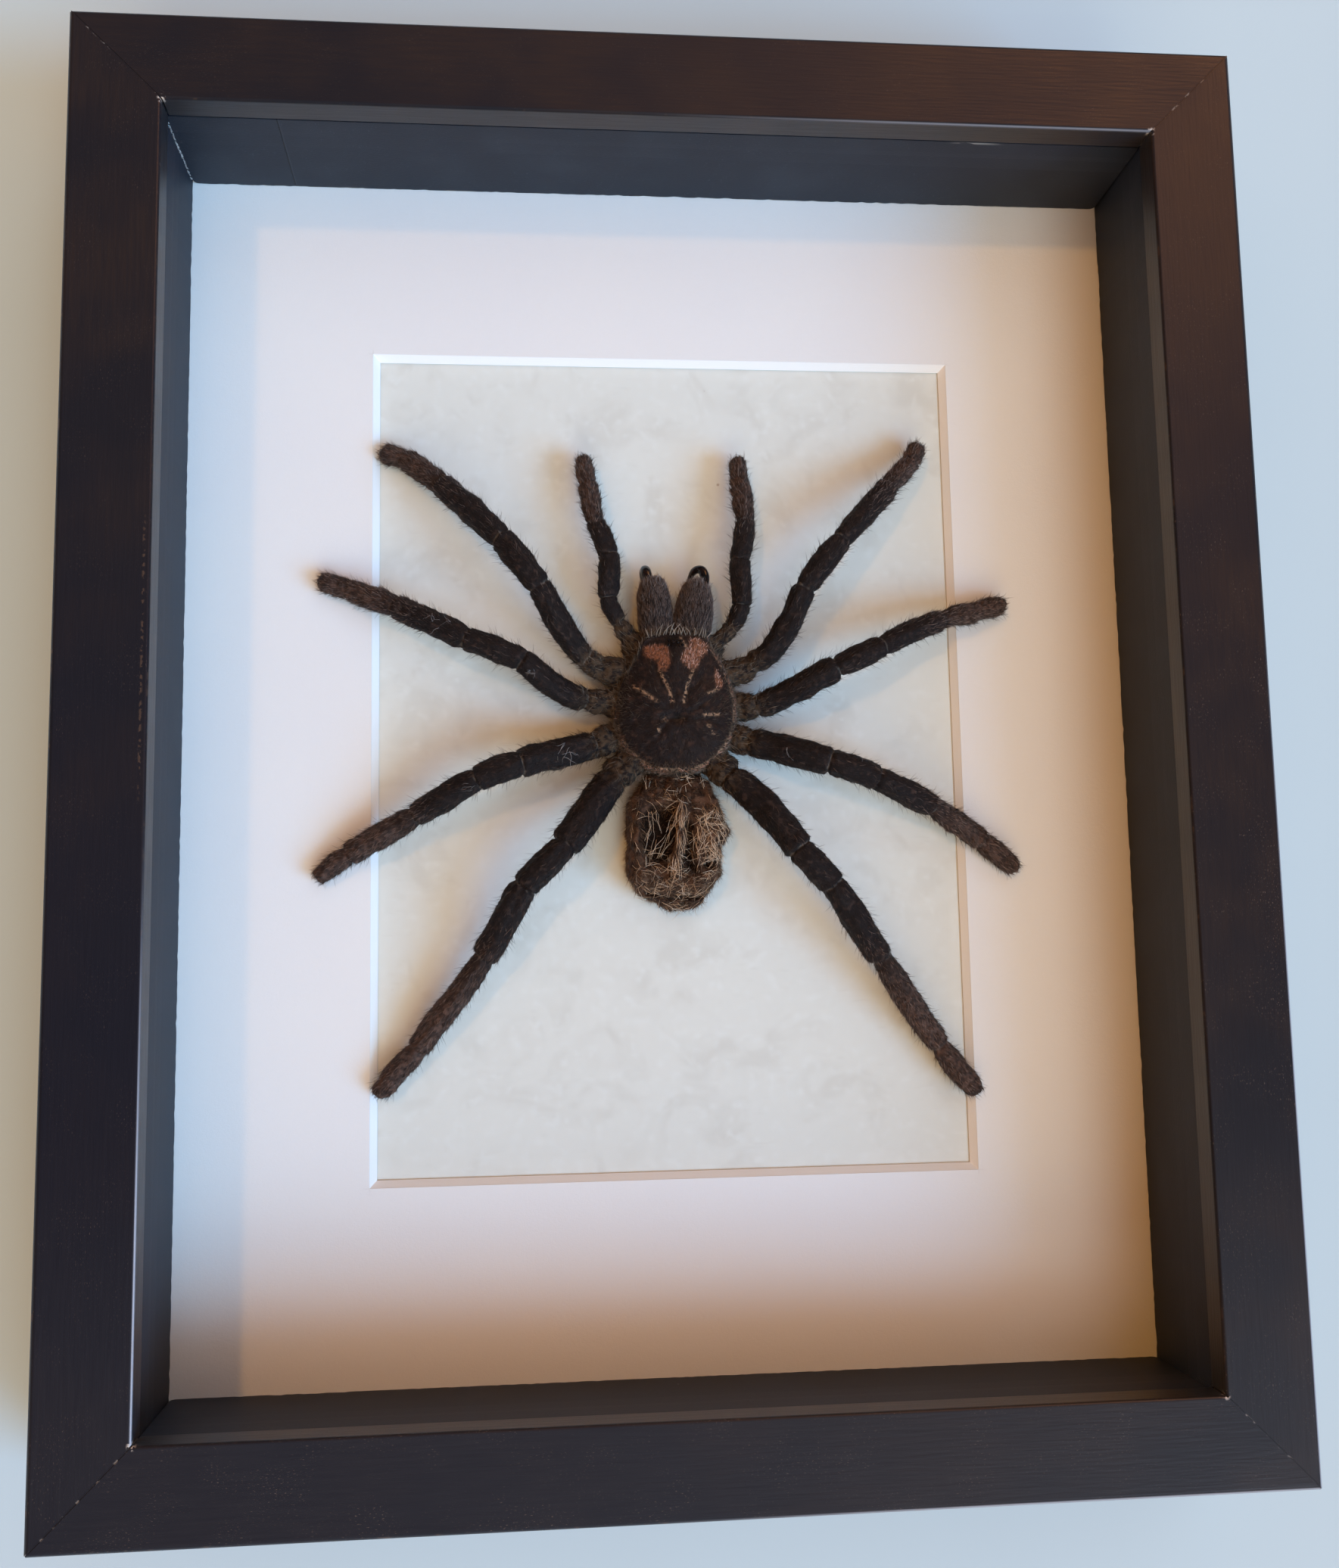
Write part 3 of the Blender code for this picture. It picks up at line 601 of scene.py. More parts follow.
@dataclass(frozen=True)
class MatFace:
    """White mat board with an eggshell tooth, a purer bevel and fine cuts past its corners."""

    window_low: Place
    window_high: Place
    top: float
    paper: Colour = (0.800, 0.795, 0.785)
    cool: Colour = (0.775, 0.775, 0.780)
    core: Colour = (0.870, 0.865, 0.850)
    speck: Colour = (0.30, 0.24, 0.18)
    cut: Colour = (0.50, 0.49, 0.47)
    cut_reach: float = 1.7
    cut_width: float = 0.09

    def make(self) -> Material:
        """Make the material.

        Returns:
            The material.
        """
        surface = Surface("mat_face")
        x, y, z = surface.axes()
        tooth = surface.mottle(0.75, 3.0) * 0.6 + surface.mottle(0.28, 1.0) * 0.4
        bevel = 1.0 - z.between(self.top - 0.12, self.top - 0.03)
        spot = surface.specks(17.0, 0.42) * surface.mottle(9.0).between(0.45, 0.6)
        overrun = self._overrun(x, y)
        colour = surface.layers(
            self.paper,
            (self.cool, surface.mottle(38.0).between(0.35, 0.7) * 0.5),
            (self.speck, spot * 0.55), (self.core, bevel), (self.cut, overrun * 0.5))
        height = tooth * (1.0 - 0.6 * bevel) + 0.5 - overrun * 0.5
        return surface.finish(colour, Roughness=0.82 + 0.1 * tooth, Specular_IOR_Level=0.30,
                              Normal=surface.bump(height, 0.055))

    def _overrun(self, x: Number, y: Number) -> Number:
        """Draw the fine cuts that run a little past each corner of the window.

        Args:
            x: The place across, in millimetres.
            y: The place upwards, in millimetres.

        Returns:
            1 in a cut.
        """
        cuts = None
        for corner_x, out_x in ((self.window_low[0], -1.0), (self.window_high[0], 1.0)):
            for corner_y, out_y in ((self.window_low[1], -1.0), (self.window_high[1], 1.0)):
                past_x = (x - corner_x) * out_x
                past_y = (y - corner_y) * out_y
                level, upright = (
                    away.near(0.0, self.cut_width) * past.between(-0.1, 0.0)
                    * (1.0 - past.between(fade, self.cut_reach))
                    for away, past, fade in ((past_y, past_x, 0.4), (past_x, past_y, 0.3)))
                cut = level.larger(upright)
                cuts = cut if cuts is None else cuts.larger(cut)
        return cuts


@dataclass(frozen=True)
class Parchment:
    """Cream-grey paper with soft clouds and short fibres."""

    paper: Colour = (0.702, 0.718, 0.668)
    cloud: Colour = (0.627, 0.631, 0.578)
    pale: Colour = (0.746, 0.774, 0.737)
    speck: Colour = (0.27, 0.20, 0.14)

    def make(self) -> Material:
        """Make the material.

        Returns:
            The material.
        """
        surface = Surface("parchment")
        broad = surface.mottle(11.0, 4.0, twist=0.8)
        fine = surface.mottle(2.2, 3.0)
        fibre = surface.mottle(0.5, 1.0, (5.0, 1.0, 1.0)).between(0.68, 0.74)
        colour = surface.layers(
            self.paper,
            (self.cloud, broad.between(0.46, 0.72) * 0.75),
            (self.pale, fine.between(0.50, 0.75) * 0.6),
            (self.cloud, fibre * 0.35),
            (self.speck, surface.specks(13.0, 0.34) * 0.55))
        return surface.finish(colour, Roughness=0.78 + 0.1 * fine, Specular_IOR_Level=0.30,
                              Normal=surface.bump(fine * 0.5 + fibre * 0.2, 0.04))


@dataclass(frozen=True)
class Hardboard:
    """Brown pressed board with dark fibres and the print of a wire screen."""

    board: Colour = (0.185, 0.105, 0.055)
    fibre: Colour = (0.080, 0.042, 0.022)
    pitch: float = 1.6

    def make(self) -> Material:
        """Make the material.

        Returns:
            The material.
        """
        surface = Surface("hardboard")
        x, y, _ = surface.axes()
        fibres = surface.mottle(0.6, 3.0, (4.0, 1.0, 1.0)).larger(
            surface.mottle(0.6, 3.0, (1.0, 4.0, 1.0)))
        screen = (x / self.pitch).part().near(0.5, 0.5) * (y / self.pitch).part().near(0.5, 0.5)
        colour = surface.layers(self.board, (self.fibre, fibres.between(0.55, 0.75) * 0.8),
                                (self.fibre, screen * 0.35))
        return surface.finish(colour, Roughness=0.62 + 0.2 * fibres, Specular_IOR_Level=0.35,
                              Normal=surface.bump(screen * -0.7 + fibres * 0.3, 0.18))


@dataclass(frozen=True)
class ZincSteel:
    """Dull plated steel with fine rolling marks and a little tarnish."""

    bright: Colour = (0.58, 0.59, 0.60)
    tarnish: Colour = (0.30, 0.29, 0.27)

    def make(self) -> Material:
        """Make the material.

        Returns:
            The material.
        """
        surface = Surface("zinc_steel")
        marks = surface.mottle(0.12, 2.0, (12.0, 1.0, 1.0))
        stain = surface.mottle(2.4, 4.0).between(0.48, 0.7)
        colour = surface.layers(self.bright, (self.tarnish, stain * 0.7))
        return surface.finish(colour, Metallic=1.0 - 0.25 * stain,
                              Roughness=0.30 + 0.16 * marks + 0.18 * stain,
                              Normal=surface.bump(marks, 0.012))


@dataclass(frozen=True)
class PictureGlass:
    """Thin clear glass: light goes straight through, and more is reflected at a glancing angle."""

    tint: Colour = (0.985, 0.995, 0.992)
    white: Colour = (1.0, 1.0, 1.0)
    face_on: float = 0.04
    polish: float = 0.015

    def make(self) -> Material:
        """Make the material.

        Returns:
            The material.
        """
        surface = Surface("picture_glass")
        clear = surface.node("BsdfTransparent", None, {"Color": self.tint})
        gloss = surface.node("BsdfGlossy", None, {"Color": self.white, "Roughness": self.polish})
        weight = surface.node("LayerWeight", None, {"Blend": 0.5})
        facing = Number(surface, weight.outputs["Facing"])
        share = self.face_on + (1.0 - self.face_on) * facing ** 5.0
        inputs = {0: share, 1: clear.outputs[0], 2: gloss.outputs[0]}
        mixed = surface.node("MixShader", None, inputs)
        return surface.close(mixed.outputs[0])


@dataclass(frozen=True)
class TornPaper:
    """The white inside of the lining's paper, where it is torn."""

    paper: Colour = (0.58, 0.57, 0.55)
    fold: Colour = (0.20, 0.20, 0.22)

    def make(self) -> Material:
        """Make the material.

        Returns:
            The material.
        """
        surface = Surface("torn_paper")
        fluff = surface.mottle(0.4, 3.0)
        colour = surface.layers(self.paper, (self.fold, fluff.between(0.45, 0.65)))
        return surface.finish(colour, Roughness=0.9, Normal=surface.bump(fluff, 0.1))


@dataclass(frozen=True)
class PaleFloor:
    """A plain pale surface under the frame."""

    colour: Colour = (0.46, 0.575, 0.60)
    darker: float = 0.96

    def make(self) -> Material:
        """Make the material.

        Returns:
            The material.
        """
        surface = Surface("pale_floor")
        dark = tuple(self.darker * part for part in self.colour)
        return surface.finish(surface.layers(self.colour, (dark, surface.mottle(60.0))),
                              Roughness=0.9, Specular_IOR_Level=0.2)


# ---- Finishes of the specimen --------------------------------------------------------------------

@dataclass(frozen=True)
class LimbSkin:
    """Velvety black-brown skin, with a thin pale membrane at each joint and a browner end."""

    velvet: Colour = (0.0125, 0.0098, 0.0100)
    brown: Colour = (0.105, 0.060, 0.046)
    hip: Colour = (0.060, 0.038, 0.024)
    membrane: Colour = (0.200, 0.165, 0.135)

    def make(self) -> Material:
        """Make the material.

        Returns:
            The material, which reads how far along the limb a point is.
        """
        surface = Surface("limb_skin")
        reach = surface.field("reach")
        lumps = surface.mottle(1.1, 3.0)
        grain = surface.mottle(0.22, 2.0)
        far = reach.between(3.7, 4.7) * (0.35 + 0.65 * lumps.between(0.35, 0.62))
        near_hip = 1.0 - reach.between(0.9, 1.25)
        past = (reach + 0.05 * (surface.mottle(0.7, 3.0) - 0.5)).part()
        patchy = surface.mottle(1.9).between(0.44, 0.62)
        ring = past.near(0.0, 0.026).larger(past.near(1.0, 0.016)) * patchy
        colour = surface.layers(
            self.velvet,
            (self.brown, (far * 0.75 + lumps.between(0.5, 0.75) * 0.3).smaller(1.0)),
            (self.hip, near_hip * lumps.between(0.35, 0.6)),
            (self.membrane, ring * reach.between(0.8, 0.95) * 0.4))
        return surface.finish(colour, Roughness=0.62 + 0.2 * grain, Specular_IOR_Level=0.35,
                              Normal=surface.bump(grain * 0.5 + lumps * 0.5, 0.13))


@dataclass(frozen=True)
class BodySkin:
    """Dark dried skin with ruddy and dusty patches, and painted shade in its hollows."""

    name: str
    dark: Colour
    ruddy: Colour
    dusty: Colour
    depth: float = 0.16
    shade: float = 0.35

    def make(self) -> Material:
        """Make the material.

        Returns:
            The material, with painted shade in its hollows, read from the field named hollow.
        """
        surface = Surface(self.name)
        lumps = surface.mottle(1.7, 4.0)
        grain = surface.mottle(0.25, 2.0)
        colour = surface.layers(
            self.dark,
            (self.ruddy, lumps.between(0.42, 0.66)),
            (self.dusty, surface.mottle(0.6, 3.0).between(0.58, 0.72) * 0.5),
            # painted shade: the hollows are darkened by the field named hollow
            (tuple(self.shade * part for part in self.dark), surface.field("hollow")))
        return surface.finish(colour, Roughness=0.58 + 0.25 * grain, Specular_IOR_Level=0.35,
                              Normal=surface.bump(grain * 0.4 + lumps * 0.6, self.depth))


@dataclass(frozen=True)
class CarapaceSkin:
    """Velvety near-black shield, ochre patches of short hair, fine tan lines, painted shade in its
    hollows.
    """

    dark: Colour = (0.0150, 0.0095, 0.0090)
    ruddy: Colour = (0.046, 0.022, 0.016)
    line: Colour = (0.360, 0.215, 0.130)
    ochre: Colour = (0.210, 0.080, 0.042)
    # painted shade colour for the pit and furrows; over the eye mound it is the mound's own black
    deep: Colour = (0.0055, 0.0045, 0.0045)

    def make(self) -> Material:
        """Make the material.

        Returns:
            The material, which reads the fields ochre, line and hollow.
        """
        surface = Surface("carapace_skin")
        lumps = surface.mottle(1.5, 4.0)
        grain = surface.mottle(0.20, 2.0)
        broken = surface.mottle(0.50, 3.0).between(0.40, 0.56)
        colour = surface.layers(
            self.dark,
            (self.ruddy, lumps.between(0.50, 0.72)),
            (self.line, surface.field("line") * broken),
            (self.ochre, surface.field("ochre") * (0.35 + 0.65 * broken)),
            # painted shade in the pit and furrows, and the eye mound's own black, by the field
            # named hollow
            (self.deep, surface.field("hollow")))
        return surface.finish(colour, Roughness=0.44 + 0.30 * grain, Specular_IOR_Level=0.40,
                              Normal=surface.bump(grain * 0.4 + lumps * 0.6, 0.12))


@dataclass(frozen=True)
class Horn:
    """Glossy black horn, for fangs and eyes."""

    name: str
    dark: Colour = (0.0075, 0.0060, 0.0060)
    ruddy: Colour = (0.028, 0.010, 0.006)

    def make(self) -> Material:
        """Make the material.

        Returns:
            The material.
        """
        surface = Surface(self.name)
        tone = surface.mottle(1.2, 2.0)
        colour = surface.layers(self.dark, (self.ruddy, tone.between(0.45, 0.8)))
        return surface.finish(colour, Roughness=0.14 + 0.12 * tone, Specular_IOR_Level=0.6,
                              Normal=surface.bump(surface.mottle(0.5), 0.02))


@dataclass(frozen=True)
class Hair:
    """Hair that lightens from root to tip, and from strand to strand."""

    name: str
    root: Colour
    mid: Colour
    tip: Colour
    rough: float = 0.48

    def make(self) -> Material:
        """Make the material.

        Returns:
            The material, which reads each strand's tone and the height along it.
        """
        surface = Surface(self.name)
        rise = surface.field("rise")
        shade = (surface.field("tone") * 0.75 + rise * 0.25).smaller(1.0)
        stops = ((0.0, self.root), (0.5, self.mid), (1.0, self.tip))
        ramp = surface.node("ValToRGB", {"stops": stops}, {0: shade})
        return surface.finish(ramp.outputs[0], Roughness=self.rough + 0.2 * rise,
                              Specular_IOR_Level=0.45)


SPECIMEN_FINISHES: tuple[LimbSkin | CarapaceSkin | BodySkin | Horn | Hair, ...] = (
    LimbSkin(),
    CarapaceSkin(),
    BodySkin("abdomen_hide", (0.022, 0.011, 0.008), (0.095, 0.046, 0.028), (0.210, 0.130, 0.080)),
    BodySkin("underside_skin", (0.020, 0.014, 0.011), (0.050, 0.030, 0.020), (0.120, 0.080, 0.055)),
    Horn("black_horn"),
    Hair("velvet_hair", (0.0085, 0.0065, 0.0066), (0.050, 0.032, 0.026), (0.40, 0.275, 0.225)),
    Hair("brown_down", (0.022, 0.015, 0.012), (0.135, 0.092, 0.064), (0.46, 0.37, 0.29)),
    Hair("golden_hair", (0.120, 0.062, 0.032), (0.600, 0.380, 0.220), (0.960, 0.820, 0.650)),
    Hair("abdomen_nap", (0.030, 0.016, 0.010), (0.190, 0.108, 0.066), (0.620, 0.440, 0.300)),
    Hair("ochre_hair", (0.120, 0.040, 0.022), (0.430, 0.185, 0.118), (0.930, 0.660, 0.550)),
    Hair("jaw_bristles", (0.032, 0.023, 0.019), (0.200, 0.142, 0.122), (0.450, 0.375, 0.325)),
    Hair("cobweb", (0.16, 0.16, 0.17), (0.34, 0.34, 0.35), (0.66, 0.66, 0.67)),
)


# ---- Frame ---------------------------------------------------------------------------------------

@dataclass
class BoxFrame:
    """Four mitred rails around the box."""

    nodes: dict
    smooth_angle: float = 32.0
    wall: float = 12.4
    filler: float = 0.26
    sunk_front: float = 0.10
    sunk_back: float = 0.6
    sunk_inside: float = 0.4
    sunk_outside: float = 0.45

    def build(self) -> None:
        """Dress each rail in wood whose grain runs along it."""
        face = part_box("rail_top")[1].z / MM
        outer = (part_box("rail_right")[1].x / MM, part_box("rail_top")[1].y / MM)
        inner = (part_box("rail_right")[0].x / MM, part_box("rail_top")[0].y / MM)
        across = StainedWood(Axis.ACROSS, inner[1], outer[1], inner, face).make()
        upright = StainedWood(Axis.UPRIGHT, inner[0], outer[0], inner, face).make()
        finishes = {"top": across, "bottom": across, "left": upright, "right": upright}
        for side, finish in finishes.items():
            rail = merged_copy(self.nodes[f"rail_{side}"], f"moulding_{side}", self.smooth_angle)
            apply_modifier(rail, "WEIGHTED_NORMAL", keep_sharp=True)
            mount(rail, finish, "frame_wood", f"rail_{side}")
        self._joints(inner, outer, face, upright)

    def _joints(self, inner: Place, outer: Place, face: float, finish: Material) -> None:
        """Fill the thin gaps of the four mitres.

        Args:
            inner: The opening's upper right corner in millimetres.
            outer: The frame's upper right corner.
            face: The height of the rails' faces.
            finish: The filler's material.
        """
        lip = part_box("glass_pane")[1].z / MM
        parts = ((inner[0] + self.sunk_inside, lip, face - self.sunk_front),
                 (outer[0] - self.wall, self.sunk_back, lip))
        fillers = []
        for across, upwards in ((1, 1), (-1, 1), (-1, -1), (1, -1)):
            for start, low, high in parts:
                filler = add(bpy.ops.mesh.primitive_cube_add, "filler", size=1.0)
                length = outer[0] - self.sunk_outside - start
                offset = start + length / 2
                filler.scale = (length * math.sqrt(2) * MM, self.filler * MM, (high - low) * MM)
                filler.rotation_euler.z = math.atan2(upwards, across)
                rise = offset + outer[1] - outer[0]
                filler.location = (across * offset * MM, upwards * rise * MM, (low + high) / 2 * MM)
                settle(filler)
                fillers.append(filler)
        mount(join(fillers, "mitre_glue"), finish, "frame_wood")


def merged_copy(node: Obj, name: str, smooth_angle: float) -> Obj:
    """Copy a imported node's mesh, merged and shaded smooth.

    Args:
        node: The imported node.
        name: The copy's name.
        smooth_angle: The angle past which its edges stay sharp, in degrees.

    Returns:
        The copy, with no material.
    """
    mesh = node.data.copy()
    mesh.materials.clear()
    copy = bpy.data.objects.new(name, mesh)
    bpy.context.scene.collection.objects.link(copy)
    only(copy)
    if mesh.has_custom_normals:
        bpy.ops.mesh.customdata_custom_splitnormals_clear()
    with Editing(copy):
        bpy.ops.mesh.remove_doubles(threshold=MERGE * MM)
        bpy.ops.mesh.tris_convert_to_quads()
    smooth(copy, smooth_angle)
    return copy


@dataclass
class Lining:
    """The wrapped strips between the glass and the mat, frayed along their lower edges."""

    nodes: dict
    fray: float = 0.28
    cut: float = 1.1
    spread: float = 0.6
    smooth_angle: float = 40.0
    slivers: int = 15
    sliver_length: Place = (1.3, 1.6)
    sliver_width: Place = (0.20, 0.25)
    sliver_thickness: float = 0.07
    curl: float = 0.25
    lean: float = 0.28
    off_corner: Place = (0.12, -0.06)
    seed: int = 31

    def build(self) -> None:
        """Make the four strips, and the torn paper at the corner seam."""
        low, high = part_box("spacer_top")
        finish = WrappedBoard(low.z / MM, high.z / MM, low.y / MM).make()
        for number, side in enumerate(("top", "bottom", "left", "right")):
            strip = merged_copy(self.nodes[f"spacer_{side}"], f"lining_{side}", self.smooth_angle)
            self._fray(strip, Axis.ACROSS if number < 2 else Axis.UPRIGHT, 3.1 * number)
            mount(strip, finish, "spacer_board", f"spacer_{side}")
        self._tear(TornPaper().make())

    def _fray(self, strip: Obj, axis: Axis, seed: float) -> None:
        """Cut a strip into short lengths and roughen its lower inner edge.

        Args:
            strip: The strip.
            axis: The direction that it runs along.
            seed: A shift of the roughness.
        """
        box = vertices_of(strip)
        start, end = box[:, axis.value].min(), box[:, axis.value].max()
        steps = int((end - start) / (self.cut * MM))
        normal = (1.0, 0.0, 0.0) if axis is Axis.ACROSS else (0.0, 1.0, 0.0)
        with Editing(strip):
            for step in range(1, steps):
                place = start + (end - start) * step / steps
                bpy.ops.mesh.select_all(action="SELECT")
                point = tuple(place * part for part in normal)
                bpy.ops.mesh.bisect(plane_co=point, plane_no=normal)
        places = vertices_of(strip)
        side = 1 - axis.value
        away, lift = np.abs(places[:, side]), places[:, 2]
        edge = (away < away.min() + 0.1 * MM) & (lift < lift.min() + 0.1 * MM)
        ragged = np.maximum(roughness_at(places[edge] / MM, 1.3, seed), 0.0) * self.fray * MM
        places[edge, 2] += ragged
        places[edge, side] += np.sign(places[edge, side]) * ragged * self.spread
        set_vertices(strip, places)
        smooth(strip, self.smooth_angle)

    def _tear(self, finish: Material) -> None:
        """Lift slivers of torn paper along the upper left corner seam.

        Args:
            finish: The torn paper's material.
        """
        low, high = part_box("spacer_left")
        corner = (high.x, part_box("spacer_top")[0].y)
        slivers = []
        rng = np.random.default_rng(self.seed)
        for step in range(self.slivers):
            part = 0.05 + 0.9 * step / self.slivers + 0.02 * rng.random()
            height = low.z + (high.z - low.z) * part
            length = (self.sliver_length[0] + self.sliver_length[1] * rng.random()) * MM
            sliver = add(bpy.ops.mesh.primitive_plane_add, "sliver", size=1.0)
            with Editing(sliver):
                bpy.ops.mesh.subdivide(number_cuts=4)
            places = vertices_of(sliver)
            along = places[:, 1] + 0.5
            width = self.sliver_width[0] + self.sliver_width[1] * rng.random()
            taper = width * (1.0 - 0.75 * along) * MM
            curl = self.curl * MM * np.sin(5.0 * along + step) * along
            shaped = np.stack([self.off_corner[0] * MM + places[:, 0] * taper + curl,
                               self.off_corner[1] * MM - self.lean * MM * along ** 2,
                               along * length], axis=1)
            set_vertices(sliver, shaped + np.array([*corner, height]))
            apply_modifier(sliver, "SOLIDIFY", thickness=self.sliver_thickness * MM)
            slivers.append(sliver)
        mount(join(slivers, "torn_lining_paper"), finish, "spacer_board")


@dataclass
class Sheets:
    """Glass, mat, backing paper and hardboard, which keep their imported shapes."""

    nodes: dict

    def build(self) -> None:
        """Give each sheet its finish."""
        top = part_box("mat_board")[1].z / MM
        self._dress("mat_board", MatFace(*self._window(), top).make())
        self._dress("backing_paper", Parchment().make())
        self._dress("back_board", Hardboard().make())
        self._dress("glass_pane", PictureGlass().make())

    def _window(self) -> tuple[Place, Place]:
        """Find the window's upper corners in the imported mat.

        Returns:
            Its lowest and highest corner in millimetres.
        """
        places = vertices_of(self.nodes["mat_board"]) / MM
        high = places.max(axis=0)
        inside = (np.abs(places[:, 0]) < high[0] - 1.0) & (np.abs(places[:, 1]) < high[1] - 1.0)
        rim = places[inside & (places[:, 2] > high[2] - 0.05)]
        return tuple(rim.min(axis=0)[:2].tolist()), tuple(rim.max(axis=0)[:2].tolist())

    def _dress(self, name: str, finish: Material) -> None:
        """Put one finish on one node.

        Args:
            name: The node.
            finish: Its material.
        """
        node = self.nodes[name]
        node.data.materials.clear()
        node.data.materials.append(finish)


@dataclass
class Fittings:
    """Tabs that hold the back in, and the sawtooth hanger with its two nails."""

    nodes: dict
    smooth_angle: float = 35.0

    def build(self) -> None:
        """Dress each fitting in plated steel."""
        finish = ZincSteel().make()
        for name in sorted(self.nodes):
            if name.startswith(("tab_", "hanger_")):
                fitting = merged_copy(self.nodes[name], f"{name}_plated", self.smooth_angle)
                mount(fitting, finish, "fittings", name)


# ---- Hair ----------------------------------------------------------------------------------------

@dataclass
class Skin:
    """The triangles of a finished skin, over which hairs are scattered."""

    corners: Array
    normals: Array
    areas: Array
    fields: dict[str, Array]
    tries: int = 5

    @classmethod
    def of(cls, obj: Obj, *names: str) -> Skin:
        """Read a mesh object.

        Args:
            obj: The skin.
            names: The vertex fields that are wanted with it.

        Returns:
            Its triangles in millimetres.
        """
        mesh = obj.data
        places = vertices_of(obj) / MM
        index = cls._triangles(mesh, places)
        corners = places[index]
        cross = np.cross(corners[:, 1] - corners[:, 0], corners[:, 2] - corners[:, 0])
        length = np.linalg.norm(cross, axis=1)
        fields = {}
        for name in names:
            values = np.empty(len(mesh.vertices), dtype=np.float32)
            mesh.attributes[name].data.foreach_get("value", values)
            fields[name] = values[index]
        return cls(corners, cross / np.maximum(length, 1e-12)[:, None], length / 2, fields)

    @staticmethod
    def _triangles(mesh: bpy.types.Mesh, places: Array) -> Array:
        """Split a mesh's faces, in an order that rests on their places alone.

        Args:
            mesh: The mesh, with faces of three or four corners.
            places: Its vertices.

        Returns:
            The numbers of each triangle's vertices.
        """
        rank = np.empty(len(places), dtype=int)
        rank[np.lexsort(np.round(places, 4).T)] = np.arange(len(places))
        loops = np.empty(len(mesh.loops), dtype=np.int32)
        mesh.loops.foreach_get("vertex_index", loops)
        starts = np.empty(len(mesh.polygons), dtype=np.int32)
        mesh.polygons.foreach_get("loop_start", starts)
        sizes = np.diff(np.append(starts, len(loops)))
        triangles = []
        for size in (3, 4):
            faces = loops[starts[sizes == size][:, None] + np.arange(size)]
            first = rank[faces].argmin(axis=1)[:, None]
            faces = np.take_along_axis(faces, (first + np.arange(size)) % size, axis=1)
            triangles += [faces[:, [0, corner, corner + 1]] for corner in range(1, size - 1)]
        index = np.concatenate(triangles)
        return index[np.lexsort(rank[index].T)]

    def scatter(self, rng: Rng, count: int, density: Rule) -> Roots:
        """Choose random places on the skin.

        Args:
            rng: The seeded source of chance.
            count: The most places that are kept.
            density: Gives how likely each place is, from 0 to 1.

        Returns:
            The places.
        """
        tries = count * self.tries
        chosen = rng.choice(len(self.areas), size=tries, p=self.areas / self.areas.sum())
        one, two = rng.random(tries), rng.random(tries)
        folded = one + two > 1
        one[folded], two[folded] = 1 - one[folded], 1 - two[folded]
        weights = np.stack([1 - one - two, one, two], axis=1)
        points = np.einsum("nk,nkc->nc", weights, self.corners[chosen])
        fields = {name: (values[chosen] * weights).sum(axis=1)
                  for name, values in self.fields.items()}
        roots = Roots(points, self.normals[chosen], fields)
        kept = rng.random(tries) < density(roots)
        return roots.keep(np.flatnonzero(kept)[:count])


@dataclass
class Roots:
    """Places where hairs stand, in millimetres."""

    points: Array
    normals: Array
    fields: dict[str, Array]

    def keep(self, chosen: Array) -> Roots:
        """Keep the places that a mask or their numbers choose."""
        fields = {name: values[chosen] for name, values in self.fields.items()}
        return Roots(self.points[chosen], self.normals[chosen], fields)

    def __len__(self) -> int:
        """Count the places."""
        return len(self.points)


@dataclass(frozen=True)
class Coat:
    """One kind of hair: how long and thick it is, and how much it is raised, bent and waved."""

    length: Place
    radius: float
    lift: Place
    stray: float
    bend: float = 0.15
    droop: float = 0.10
    sections: int = 2
    wave: float = 0.0


Rule = Callable[[Roots], Array]


def unit(vectors: Array) -> Array:
    """Make rows of x, y and z one long."""
    return vectors / np.maximum(np.linalg.norm(vectors, axis=1), 1e-9)[:, None]


def sideways(headings: Array) -> Array:
    """Turn directions a quarter to the left in the picture's plane."""
    return np.stack([-headings[:, 1], headings[:, 0], np.zeros(len(headings))], axis=1)


